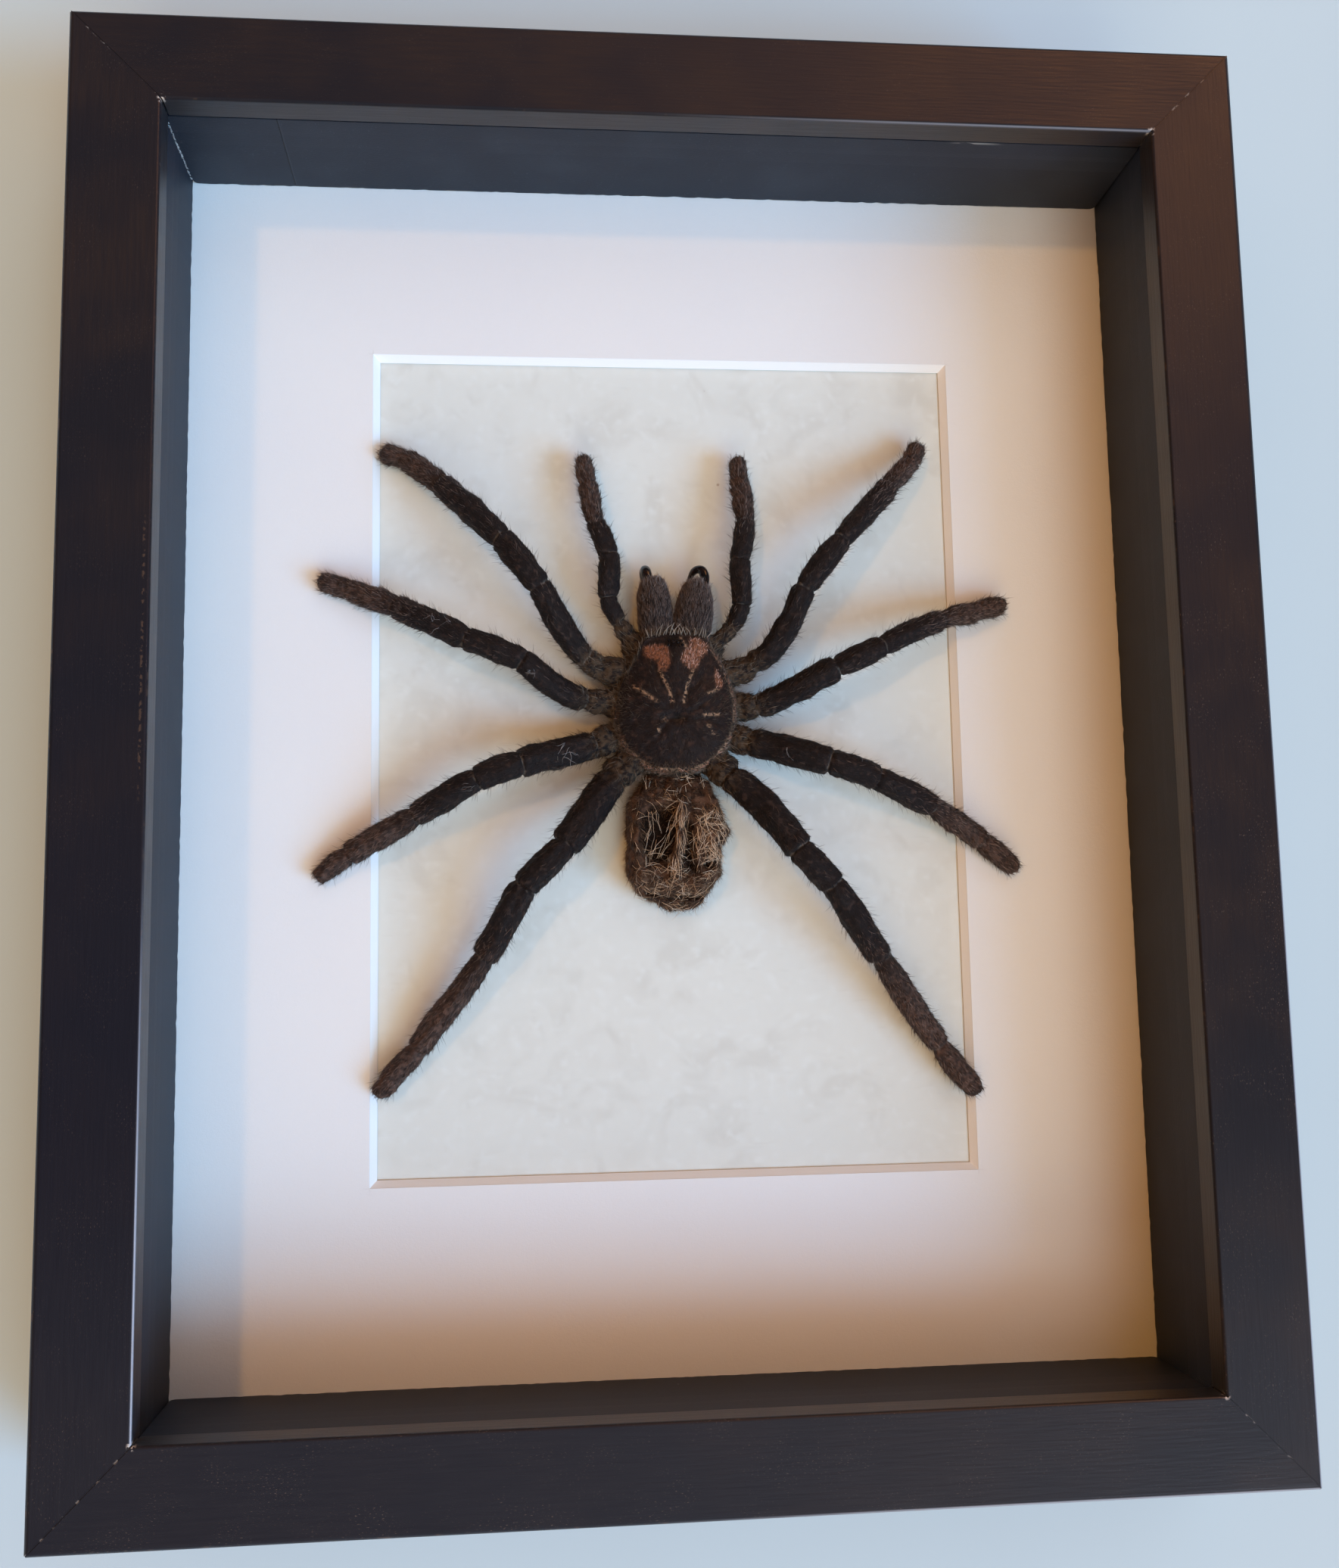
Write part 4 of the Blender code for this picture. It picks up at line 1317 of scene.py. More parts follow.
class Fleece:
    """Hairs gathered in one mesh of thin three-sided spikes."""

    sides: int = 3
    sunk: float = 0.04
    taper: float = 0.62
    uneven: Place = (0.75, 1.25)
    waves: float = 1.4

    def __init__(self, seed: int) -> None:
        """Start with no hairs.

        Args:
            seed: Fixes every random choice.
        """
        self.rng = np.random.default_rng(seed)
        self.points: list[Array] = []
        self.faces: list[Array] = []
        self.quads: list[Array] = []
        self.tones: list[Array] = []
        self.rises: list[Array] = []
        self.total = 0

    def cover(self, skin: Skin, count: int, density: Rule, grain: Rule, coat: Coat,
              tone: Place) -> None:
        """Scatter a coat over a skin.

        Args:
            skin: The skin.
            count: The most hairs that are kept.
            density: Gives how likely a hair is at each place, from 0 to 1.
            grain: Gives the direction of each hair.
            coat: The kind of hair.
            tone: The least and greatest tone.
        """
        roots = skin.scatter(self.rng, count, density)
        self.grow(roots, grain(roots), coat, tone)

    def grow(self, roots: Roots, grain: Array, coat: Coat, tone: Place) -> None:
        """Grow a coat that lies along a grain.

        Args:
            roots: Where the hairs stand.
            grain: The direction that each one points in, before its lift and stray.
            coat: The kind of hair.
            tone: The least and greatest tone.
        """
        count = len(roots)
        if not count:
            return
        rng = self.rng
        normals = roots.normals
        along = unit(grain - (grain * normals).sum(axis=1)[:, None] * normals)
        side = np.cross(normals, along)
        turn = np.radians(rng.normal(0.0, coat.stray, count))[:, None]
        flat = along * np.cos(turn) + side * np.sin(turn)
        lift = np.radians(rng.uniform(*coat.lift, count))[:, None]
        heading = flat * np.cos(lift) + normals * np.sin(lift)
        aside = np.cross(heading, normals)
        bend = unit(aside) * rng.normal(0.0, coat.bend, count)[:, None] - normals * coat.droop
        length = rng.uniform(*coat.length, count)
        starts = roots.points - normals * self.sunk
        self.spikes(starts, heading, bend, length, coat, rng.uniform(*tone, count))

    def spikes(self, starts: Array, heading: Array, bend: Array, length: Array,
               coat: Coat, tones: Array) -> None:
        """Add spikes from arrays.

        Args:
            starts: Each spike's root in millimetres.
            heading: Its direction at the root.
            bend: How far its tip bends aside, as a share of its length.
            length: Its length in millimetres.
            coat: The kind of hair, for its radius and sections.
            tones: Each spike's tone.
        """
        count, sections, sides = len(starts), coat.sections, self.sides
        side = unit(np.cross(heading, UP + 1e-3))
        over = unit(np.cross(heading, side))
        thick = coat.radius * self.rng.uniform(*self.uneven, count)
        phase = self.rng.random(count) if coat.wave else np.zeros(count)
        rings = []
        for section in range(sections):
            rise = section / sections
            middle = starts + (heading * rise + bend * rise * rise) * length[:, None]
            swing = coat.wave * rise * np.sin(math.tau * (self.waves * rise + phase))
            middle += side * (swing * length)[:, None]
            radius = (thick * (1.0 - self.taper * rise))[:, None]
            for corner in range(sides):
                angle = math.tau * corner / sides
                rings.append(middle + (side * math.cos(angle) + over * math.sin(angle)) * radius)
        tips = starts + (heading + bend) * length[:, None]
        size = sides * sections + 1
        last = size - 1 - sides
        caps = [(0, 2, 1)] + [(last + k, last + (k + 1) % sides, size - 1) for k in range(sides)]
        walls = [(low + k, low + (k + 1) % sides, low + sides + (k + 1) % sides, low + sides + k)
                 for low in range(0, last, sides) for k in range(sides)]
        roots = self.total + np.arange(count)[:, None, None] * size
        self.faces.append((roots + np.array(caps)).reshape(-1, 3))
        if walls:
            self.quads.append((roots + np.array(walls)).reshape(-1, 4))
        heights = np.append(np.repeat(np.arange(sections) / sections, sides), 1.0)
        self.points.append(np.stack([*rings, tips], axis=1).reshape(-1, 3))
        self.rises.append(np.tile(heights, count))
        self.tones.append(np.repeat(tones, size))
        self.total += count * size

    def make(self, name: str, finish: Material, slot: str) -> Obj:
        """Build the hairs' mesh.

        Args:
            name: The piece's name.
            finish: Its material.
            slot: The record's material slot.

        Returns:
            The piece.
        """
        points = np.concatenate(self.points) * MM
        triangles = np.concatenate(self.faces)
        quads = np.concatenate(self.quads) if self.quads else np.empty((0, 4), dtype=int)
        mesh = bpy.data.meshes.new(name)
        mesh.vertices.add(len(points))
        mesh.vertices.foreach_set("co", points.astype(np.float32).ravel())
        mesh.loops.add(triangles.size + quads.size)
        mesh.loops.foreach_set("vertex_index", np.concatenate([triangles.ravel(), quads.ravel()]))
        mesh.polygons.add(len(triangles) + len(quads))
        starts = np.concatenate([np.arange(len(triangles)) * 3,
                                 triangles.size + np.arange(len(quads)) * 4])
        mesh.polygons.foreach_set("loop_start", starts)
        mesh.update(calc_edges=True)
        obj = bpy.data.objects.new(name, mesh)
        bpy.context.scene.collection.objects.link(obj)
        set_field(obj, "tone", np.concatenate(self.tones))
        set_field(obj, "rise", np.concatenate(self.rises))
        mesh.shade_smooth()
        return mount(obj, finish, slot)


# ---- The specimen's limbs ------------------------------------------------------------------------

def above_paper(x: float, y: float, lift: float) -> Vector:
    """Find a place in metres from x, y and a lift over the backing paper in millimetres."""
    return Vector((x, y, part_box("backing_paper")[1].z / MM + lift)) * MM


def height_above_paper(lift: float = 0.0) -> float:
    """Turn a lift above the paper into a height, both in millimetres."""
    return above_paper(0, 0, lift).z / MM


def smooth_route(knots: Sequence[Vector], steps: int) -> list[Vector]:
    """Run a smooth curve through knots.

    Args:
        knots: The places that it passes.
        steps: The number of parts in each span.

    Returns:
        The points at each knot and between them.
    """
    spans = [(end - start).length for start, end in zip(knots, knots[1:])]
    slopes = [(knots[1] - knots[0]) / spans[0]]
    for index in range(1, len(knots) - 1):
        slopes.append((knots[index + 1] - knots[index - 1]) / (spans[index - 1] + spans[index]))
    slopes.append((knots[-1] - knots[-2]) / spans[-1])
    route = [knots[0].copy()]
    for index, span in enumerate(spans):
        for step in range(1, steps + 1):
            part = step / steps
            square, cube = part ** 2, part ** 3
            route.append(knots[index] * (2 * cube - 3 * square + 1)
                         + slopes[index] * span * (cube - 2 * square + part)
                         + knots[index + 1] * (3 * square - 2 * cube)
                         + slopes[index + 1] * span * (cube - square))
    return route


@dataclass
class Tube:
    """A round form that is modelled straight, ring by ring, and then bent along a route.

    Stations are pairs of reach and radius in millimetres, where reach counts the route's knots.
    """

    name: str
    route: list[Vector]
    steps: int
    stations: list[tuple[float, float]]
    sides: int = 12
    levels: int = 2
    twist: str = "Z_UP"

    def __post_init__(self) -> None:
        """Measure the route."""
        points = np.array([tuple(point) for point in self.route]) / MM
        lengths = np.linalg.norm(np.diff(points, axis=0), axis=1)
        self.distance = np.concatenate([[0.0], np.cumsum(lengths)])
        self.reach = np.arange(len(points)) / self.steps
        slopes = np.gradient(points, axis=0)
        self.tangents = slopes / np.linalg.norm(slopes, axis=1)[:, None]

    def build(self, sculpt: Callable[[Array, Array], Array] | None = None) -> Obj:
        """Model the form.

        Args:
            sculpt: Takes the straight form's vertices and their reach, and gives how far each
                moves out along its radius, in millimetres.

        Returns:
            The bent form, with its reach stored at each vertex.
        """
        places = [(float(np.interp(reach, self.reach, self.distance)) * MM, radius * MM)
                  for reach, radius in self.stations]
        form = add(bpy.ops.mesh.primitive_circle_add, self.name, vertices=self.sides,
                   radius=places[0][1], fill_type="NGON", rotation=(0.0, math.pi / 2, 0.0))
        settle(form)
        with Editing(form):
            bpy.ops.transform.translate(value=(places[0][0], 0.0, 0.0))
            for (start, first), (end, second) in zip(places, places[1:]):
                bpy.ops.mesh.extrude_region_move(
                    TRANSFORM_OT_translate={"value": (end - start, 0.0, 0.0)})
                scale = second / first
                bpy.ops.transform.resize(value=(1.0, scale, scale), center_override=(end, 0.0, 0.0))
            bpy.ops.mesh.select_all(action="SELECT")
            bpy.ops.mesh.normals_make_consistent(inside=False)
        apply_modifier(form, "SUBSURF", levels=self.levels, render_levels=self.levels)
        vertices = vertices_of(form) / MM
        reach = np.interp(vertices[:, 0], self.distance, self.reach)
        if sculpt:
            radial = vertices * np.array([0.0, 1.0, 1.0])
            vertices += unit(radial) * sculpt(vertices, reach)[:, None]
            set_vertices(form, vertices * MM)
        set_field(form, "reach", reach)
        self._bend(form)
        smooth(form)
        return form

    def _bend(self, form: Obj) -> None:
        """Bend the straight form along the route.

        Args:
            form: The straight form, along +X.
        """
        path = bpy.data.curves.new("route", "CURVE")
        path.dimensions = "3D"
        path.twist_mode = self.twist
        path.use_deform_bounds = False
        spline = path.splines.new("POLY")
        spline.points.add(len(self.route) - 1)
        for point, place in zip(spline.points, self.route):
            point.co = (*place, 1.0)
        carrier = bpy.data.objects.new("route", path)
        bpy.context.scene.collection.objects.link(carrier)
        bpy.context.view_layer.update()
        apply_modifier(form, "CURVE", object=carrier, deform_axis="POS_X")
        bpy.data.objects.remove(carrier)
        bpy.data.curves.remove(path)

    def grain(self, roots: Roots) -> Array:
        """Give the route's direction at the reach of each place on the form."""
        reach = roots.fields["reach"]
        axes = [np.interp(reach, self.reach, slopes) for slopes in self.tangents.T]
        return np.stack(axes, axis=1)


@dataclass
class Limb:
    """A leg or palp from its coxa to its tip.

    The joints are x, y and lift from the hip to the tip, and the widths are of the parts between.
    """

    name: str
    root: Place
    joints: tuple[Point, ...]
    widths: tuple[float, ...]
    bow: float = 0.0
    hairs: int = 3000
    seed: int = 1
    steps: int = 8
    root_lift: float = 4.4
    root_radius: float = 3.6
    neck: float = 0.80
    last_neck: float = 0.72
    velvet_seeds: int = 100
    down_seeds: int = 300

    def tube(self) -> Tube:
        """Lay out the limb.

        Returns:
            Its form, with five parts past the coxa.
        """
        knots = [above_paper(*knot) for knot in ((*self.root, self.root_lift), *self.joints)]
        route = smooth_route(knots, self.steps)
        line = knots[2] - knots[1]
        aside = Vector((line.y, -line.x, 0.0)).normalized() * self.bow * MM
        for step in range(1, self.steps):
            part = step / self.steps
            route[self.steps + step] += aside * 4 * part * (1 - part)
        return Tube(self.name, route, self.steps, self._stations())

    def _stations(self) -> list[tuple[float, float]]:
        """Set the rings: lumps on the coxa, then a neck, a swell and a rim for each part."""
        hip = self.widths[0] / 2 * self.neck
        middle = (self.root_radius + hip) / 2
        coxa = ((self.root_radius, ((0.02, 0.8), (0.10, 1.0), (0.35, 1.02))),
                (middle, ((0.56, 1.10), (0.64, 0.99))),
                (hip, ((0.70, 1.24), (0.80, 1.36), (0.92, 1.24), (0.965, 1.12), (1.0, 0.98))))
        rings = [(reach, radius * swell) for radius, profile in coxa for reach, swell in profile]
        for number, width in enumerate(self.widths, start=1):
            radius = width / 2
            if number < len(self.widths):
                profile = ((0.022, 0.90), (0.07, 0.985), (0.20, 1.00), (0.38, 1.04), (0.58, 1.05),
                           (0.76, 1.015), (0.88, 1.0), (0.955, 1.005), (0.982, 0.93))
                neck = self.neck if number < 4 else self.last_neck
                ends = min(width, self.widths[number]) / 2 * neck
            else:
                profile = ((0.03, 0.92), (0.12, 1.0), (0.35, 1.02), (0.60, 1.0), (0.78, 0.93),
                           (0.90, 0.78), (0.965, 0.56))
                ends = radius * 0.30
            rings += [(number + part, radius * swell) for part, swell in profile]
            rings.append((number + 1.0, ends))
        return rings

    def _sculpt(self, places: Array, reach: Array) -> Array:
        """Wrinkle the dried skin: long furrows on the parts and lumps on the coxa.

        Args:
            places: The straight form's vertices.
            reach: Their reach.

        Returns:
            How far each vertex moves out.
        """
        long = places / np.array([5.5, 1.0, 1.0])
        furrows = roughness_at(long, 1.3, 3.0 * self.seed)
        lumps = roughness_at(places, 3.0, 5.0 * self.seed)
        knobs = roughness_at(places, 1.0, 7.0 * self.seed)
        on_coxa = np.clip((1.2 - reach) / 0.3, 0.0, 1.0)
        far = np.clip(reach - 4.0, 0.0, 1.0)
        return (0.34 * furrows + (0.32 + 0.25 * on_coxa) * lumps
                + (0.15 + 0.18 * on_coxa + 0.12 * far) * knobs)

    def build(self, finishes: Finishes) -> None:
        """Model the limb and its hair.

        Args:
            finishes: The specimen's materials.
        """
        tube = self.tube()
        form = tube.build(self._sculpt)
        form.name = f"{self.name}_skin"
        mount(form, finishes["limb_skin"], "leg_skin", self.name)
        surface = Skin.of(form, "reach")
        self._velvet(tube, surface, finishes["velvet_hair"])
        self._coxa_down(tube, surface, finishes["brown_down"])

    def _velvet(self, tube: Tube, surface: Skin, hair: Material) -> None:
        """Cover the limb in short velvet, pale streaks and long side hairs.

        Args:
            tube: The limb's form.
            surface: Its skin.
            hair: The hair's material.
        """
        def clear_of_joints(roots: Roots) -> Array:
            """Favour what is past the hip and away from the joints."""
            reach = roots.fields["reach"]
            past = reach % 1.0
            return np.where((past > 0.045) & (past < 0.975), 1.0, 0.12) * (reach > 0.9)

        def outer(roots: Roots) -> Array:
            """Favour the last parts."""
            return clear_of_joints(roots) * np.clip(roots.fields["reach"] - 3.4, 0.0, 1.0)

        def streaks(roots: Roots) -> Array:
            """Favour a few lines along the limb."""
            up, across = roots.normals[:, 2], roots.normals[:, 0]
            around = np.abs(np.sin(3.1 * up + 2.0 * across + self.seed))
            return clear_of_joints(roots) * (up > -0.2) * (around > 0.6)

        def flanks(roots: Roots) -> Array:
            """Favour the sides."""
            return clear_of_joints(roots) * (np.abs(roots.normals[:, 2]) < 0.75)

        def patches(roots: Roots) -> Array:
            """Favour scattered patches."""
            lumps = roughness_at(roots.points, 2.6, 9.0 * self.seed)
            return clear_of_joints(roots) * ease(lumps, 0.05, 0.35)

        def cuffs(roots: Roots) -> Array:
            """Favour the start of each part."""
            reach = roots.fields["reach"]
            return ((reach % 1.0 > 0.03) & (reach % 1.0 < 0.15) & (reach > 1.5)) * 1.0

        def tip(roots: Roots) -> Array:
            """Favour the limb's end."""
            return ease(roots.fields["reach"], 5.70, 5.85)

        fleece = Fleece(self.velvet_seeds + self.seed)
        for share, density, coat, tone in (
                (1, clear_of_joints, Coat((0.55, 1.0), 0.042, (10, 30), 9.0), (0.0, 0.36)),
                (3, outer, Coat((0.6, 1.2), 0.045, (12, 40), 13.0), (0.56, 1.0)),
                (5, outer, Coat((1.1, 2.3), 0.050, (6, 30), 13.0, 0.2, sections=3), (0.15, 1.0)),
                (4, patches, Coat((0.6, 1.2), 0.042, (10, 34), 14.0), (0.30, 0.62)),
                (26, cuffs, Coat((0.6, 1.1), 0.040, (6, 24), 14.0), (0.45, 0.72)),
                (28, streaks, Coat((0.9, 2.0), 0.038, (5, 18), 13.0, 0.25, sections=3),
                 (0.55, 0.95)),
                (8, flanks, Coat((1.0, 2.8), 0.036, (28, 68), 18.0, 0.20, sections=3), (0.0, 0.62)),
                (22, tip, Coat((0.8, 1.9), 0.042, (14, 60), 26.0, 0.20, sections=3), (0.05, 0.62))):
            fleece.cover(surface, self.hairs // share, density, tube.grain, coat, tone)
        fleece.make(f"{self.name}_velvet", hair, "leg_skin")

    def _coxa_down(self, tube: Tube, surface: Skin, down: Material) -> None:
        """Cover the coxa and trochanter in longer brown down.

        Args:
            tube: The limb's form.
            surface: Its skin.
            down: The down's material.
        """
        def at_hip(roots: Roots) -> Array:
            """Favour the upper side of the coxa."""
            reach = roots.fields["reach"]
            shown = (reach > 0.2) * (roots.normals[:, 2] > -0.6)
            return np.clip((1.22 - reach) / 0.2, 0.0, 1.0) * shown

        fleece = Fleece(self.down_seeds + self.seed)
        for share, coat, tone in (
                (5, Coat((0.8, 1.7), 0.040, (14, 46), 24.0, 0.2), (0.05, 0.75)),
                (30, Coat((1.8, 3.0), 0.036, (18, 50), 26.0, 0.3, sections=3), (0.55, 1.0))):
            fleece.cover(surface, self.hairs // share, at_hip, tube.grain, coat, tone)
        fleece.make(f"{self.name}_hip_down", down, "leg_skin")


LIMBS: tuple[Limb, ...] = (
    Limb("leg_1_left", (-4.0, 16.5),
         ((-17, 20.5, 7.5), (-26.5, 34, 14), (-34, 44, 13), (-46.5, 57, 8), (-54, 63.5, 3.6),
          (-59, 65.5, 1.9)),
         (5.1, 5.3, 5.3, 4.7, 4.1), seed=1),
    Limb("leg_2_left", (-4.5, 12.0),
         ((-17, 12, 7), (-30, 19, 13), (-41, 23.5, 12.5), (-55.5, 31, 8.5), (-65, 35, 5.2),
          (-71.5, 37.5, 3.7)),
         (5.0, 5.0, 5.1, 4.8, 4.4), -0.8, seed=2),
    Limb("leg_3_left", (-4.5, 7.0),
         ((-15.5, 2.5, 7), (-30.5, -2, 13), (-39, -5, 12.5), (-51.5, -12, 8.5), (-65, -19.5, 5.2),
          (-71.5, -24, 3.7)),
         (6.1, 5.5, 5.2, 4.8, 4.2), seed=3),
    Limb("leg_4_left", (-4.0, 3.0),
         ((-11.5, -4.5, 7.5), (-21.8, -18.7, 14), (-29.6, -26.7, 13), (-37.8, -40.5, 8.5),
          (-51.5, -58.5, 4.2), (-59.5, -67.5, 3.4)),
         (6.8, 5.8, 5.8, 4.9, 4.5), hairs=3400, seed=4),
    Limb("leg_1_right", (6.4, 16.5),
         ((17.6, 19.2, 7.5), (28, 34, 14), (36, 44, 13.5), (47.5, 57, 9), (53.3, 63.5, 5.6),
          (55.5, 68, 4.2)),
         (5.0, 5.0, 4.7, 4.2, 4.0), 1.3, seed=5),
    Limb("leg_2_right", (6.9, 12.0),
         ((18.5, 10.5, 7), (34.5, 17.5, 13), (44, 22, 12.5), (58, 28.5, 8.5), (67, 31, 6.2),
          (73, 33, 4.6)),
         (5.6, 5.0, 4.6, 4.2, 4.2), seed=6),
    Limb("leg_3_right", (6.9, 7.0),
         ((17, 3, 7), (32.5, -2, 13), (42, -5.5, 12.5), (54.5, -11, 8.5), (65.5, -18, 5.4),
          (73.5, -24, 3.5)),
         (6.1, 5.5, 5.2, 4.6, 4.5), seed=7),
    Limb("leg_4_right", (6.4, 3.0),
         ((12.5, -4.5, 7.5), (25.5, -20, 14), (32, -27, 13), (42.5, -42, 9), (55, -60, 5),
          (63, -70, 3.9)),
         (6.4, 5.8, 5.6, 5.1, 4.8), -1.0, hairs=3400, seed=8),
    Limb("pedipalp_left", (-2.5, 19.0),
         ((-10, 28, 7.5), (-12, 33, 8.5), (-12, 42, 9), (-14.5, 49, 8), (-16, 58, 6),
          (-17, 64.5, 4.4)),
         (3.6, 4.4, 4.2, 4.0, 3.8), hairs=1900, seed=9),
    Limb("pedipalp_right", (4.9, 19.0),
         ((13.5, 27, 7.5), (15.5, 31.5, 8.5), (15.5, 41, 9), (17, 49.5, 8), (16.5, 57.5, 6),
          (16, 64.5, 4.4)),
         (3.6, 4.3, 4.2, 4.2, 4.0), hairs=1900, seed=10),
)


# ---- The specimen's body -------------------------------------------------------------------------

def distance_to_line(places: Array, line: Sequence[Place]) -> Array:
    """Measure the distance from points to a polyline in the picture's plane.

    Args:
        places: Rows that start with x and y.
        line: The polyline's corners.

    Returns:
        One distance for each row.
    """
    best = np.full(len(places), np.inf)
    for start, end in zip(np.array(line[:-1]), np.array(line[1:])):
        step = end - start
        part = np.clip(((places[:, :2] - start) @ step) / (step @ step), 0.0, 1.0)
        nearest = start + part[:, None] * step
        best = np.minimum(best, np.linalg.norm(places[:, :2] - nearest, axis=1))
    return best


def inside_outline(places: Array, outline: Sequence[Place]) -> Array:
    """Find which points are inside a closed outline.

    Args:
        places: Rows that start with x and y.
        outline: The outline's corners in order.

    Returns:
        True for each row inside.
    """
    x, y = places[:, 0], places[:, 1]
    inside = np.zeros(len(places), dtype=bool)
    for (x0, y0), (x1, y1) in zip(outline, (*outline[1:], outline[0])):
        if y0 != y1:
            inside ^= ((y0 > y) != (y1 > y)) & (x < (x1 - x0) * (y - y0) / (y1 - y0) + x0)
    return inside


def patch(places: Array, outline: Sequence[Place], soft: float = 0.25) -> Array:
    """Mask a patch with a soft edge.

    Args:
        places: Rows that start with x and y.
        outline: The patch's corners in order.
        soft: The width of its edge in millimetres.

    Returns:
        From 0 outside to 1 inside.
    """
    away = distance_to_line(places, (*outline, outline[0]))
    signed = np.where(inside_outline(places, outline), away, -away)
    return np.clip(0.5 + signed / (2 * soft), 0.0, 1.0)


def stripe(places: Array, line: Sequence[Place], width: float) -> Array:
    """Mask a soft stripe along a line: 1 on it, falling off over a half width in millimetres."""
    return np.exp(-(distance_to_line(places, line) / width) ** 2)


def hump(places: Array, centre: Place, spread: Place) -> Array:
    """Raise a soft mound: 1 at its centre, falling off over its half width and half length."""
    x, y = ((places[:, axis] - centre[axis]) / spread[axis] for axis in range(2))
    return np.exp(-x ** 2 - y ** 2)


def ease(values: Array, low: float, high: float) -> Array:
    """Rise smoothly from 0 at one value to 1 at another."""
    part = np.clip((values - low) / (high - low), 0.0, 1.0)
    return part * part * (3 - 2 * part)


@dataclass
class Carapace:
    """The ridged shield over the legs' roots, with its raised head, eyes, sternum and stalk."""

    x: float = 1.3
    y: float = 10.5
    outline: tuple[Place, ...] = (
        (13.9, 9.5), (13.7, 11.5), (13.3, 13.4), (12.7, 15.0), (11.9, 16.8), (11.1, 18.6),
        (10.0, 20.3), (8.9, 22.0), (8.0, 23.5), (6.8, 24.5), (4.2, 24.9), (1.5, 25.0), (-1.5, 24.9),
        (-3.9, 24.4), (-5.2, 23.4), (-5.9, 21.6), (-6.6, 19.8), (-7.6, 18.2), (-8.9, 16.5),
        (-9.8, 14.5), (-10.6, 12.0), (-11.1, 9.2), (-11.1, 6.6), (-10.7, 4.5), (-9.7, 2.2),
        (-8.2, 0.4), (-6.4, -1.3), (-4.0, -2.9), (-1.2, -3.5), (1.8, -3.4), (5.3, -3.2),
        (8.0, -2.0), (10.4, 0.1), (12.0, 2.0), (13.0, 4.0), (13.6, 6.3))
    rim: float = 7.8
    top: float = 12.6
    under: float = 3.4
    fovea_y: float = 7.3
    parting: float = 1.2
    line_width: float = 0.26
    furrow_depth: float = 0.28
    furrow_width: float = 0.6
    cheek_x: float = 5.5
    plate: Point = (8.0, 12.5, 3.4)
    velvet_seed: int = 503
    down_seed: int = 501
    pale_seed: int = 502
    comb_y: float = 24.6
    comb: tuple[tuple[float, float, float, int], ...] = (
        (-4.3, 0.6, 0.10, 10), (2.9, 7.9, -0.16, 10), (1.0, 2.5, 0.0, 5))
    stalk: tuple[Place, ...] = ((-1.0, 5.5), (-4.0, 5.2), (-8.0, 5.0))
    stalk_rings: tuple[Place, ...] = (
        (0.0, 2.3), (0.35, 2.0), (0.7, 1.85), (1.0, 1.6), (1.3, 1.55), (1.65, 1.6), (2.0, 1.3))
    eyes_at: Place = (1.3, 22.4)
    grooves: tuple[float, ...] = (27.0, 63.0, 98.0, 133.0)
    ochre_left: tuple[Place, ...] = (
        (-5.2, 21.9), (-3.4, 22.5), (-1.1, 22.4), (-0.2, 21.3), (0.1, 18.3), (-0.9, 16.7),
        (-2.2, 17.2), (-2.6, 19.0), (-4.2, 19.5), (-5.2, 20.6))
    ochre_right: tuple[Place, ...] = (
        (3.0, 20.8), (4.0, 21.8), (4.4, 23.5), (5.9, 23.9), (7.8, 22.7), (7.9, 20.8), (6.5, 19.7),
        (5.7, 17.4), (4.3, 17.1), (2.9, 18.1), (2.2, 18.8))
    ochre_side: tuple[Place, ...] = (
        (9.5, 17.7), (10.1, 16.5), (11.1, 14.4), (10.8, 13.5), (9.6, 13.3), (9.3, 16.0))
    stripes: tuple[tuple[Place, ...], ...] = (
        ((-2.1, 16.8), (-1.2, 14.9), (-0.3, 13.2), (0.1, 11.6), (0.5, 10.4)),
        ((4.8, 17.0), (4.0, 15.1), (3.4, 13.5), (3.1, 12.0), (2.8, 10.4)),
        ((-7.4, 13.9), (-5.4, 12.5), (-2.8, 10.5)), ((7.7, 12.1), (8.9, 12.6), (10.1, 13.4)),
        ((-1.4, 6.9), (-0.5, 6.9)), ((1.2, 7.0), (2.7, 7.1)), ((7.0, 7.8), (10.0, 8.0)),
        ((2.3, 24.0), (3.0, 22.8), (3.3, 21.9)), ((-2.5, 4.8), (-2.2, 4.7)),
        ((8.3, 4.4), (8.9, 4.1)), ((7.8, 5.7), (8.1, 5.5)))

    def build(self, finishes: Finishes) -> None:
        """Model the shield, what is under it, and its hair.

        Args:
            finishes: The specimen's materials.
        """
        shield = add(bpy.ops.mesh.primitive_uv_sphere_add, "carapace", segments=144, ring_count=80,
                     radius=1.0)
        places = self._shape(vertices_of(shield))
        set_vertices(shield, (places + UP * height_above_paper()) * MM)
        smooth(shield)
        outlines = (self.ochre_left, self.ochre_right, self.ochre_side)
        ochres = np.maximum.reduce([patch(places, outline) for outline in outlines])
        lines = np.maximum.reduce([stripe(places, line, self.line_width) for line in self.stripes]
                                  + [self._margin(places)])
        # painted shade: the pit, and faintly the furrows, are darkened through the field named
        # hollow
        pit = hump(places, (self.x, self.fovea_y), (1.7, 0.9)) + 0.14 * self._furrow(places)
        eye_patch = hump(places, self.eyes_at, (1.25, 2.2))
        above = places[:, 2] > self.rim - 1.0
        set_field(shield, "ochre", ochres * above * (1 - np.minimum(eye_patch, 1.0)))
        set_field(shield, "line", lines * above)
        set_field(shield, "hollow", np.clip(pit + eye_patch * 1.1, 0.0, 1.0) * above)
        mount(shield, finishes["carapace_skin"], "body_skin", "prosoma")
        self._underside(finishes["underside_skin"])
        self._eyes(finishes["black_horn"])
        surface = Skin.of(shield, "ochre", "line", "hollow")
        self._velvet(surface, finishes["velvet_hair"])
        self._down(surface, finishes["brown_down"])
        self._pale_hair(surface, finishes["ochre_hair"])

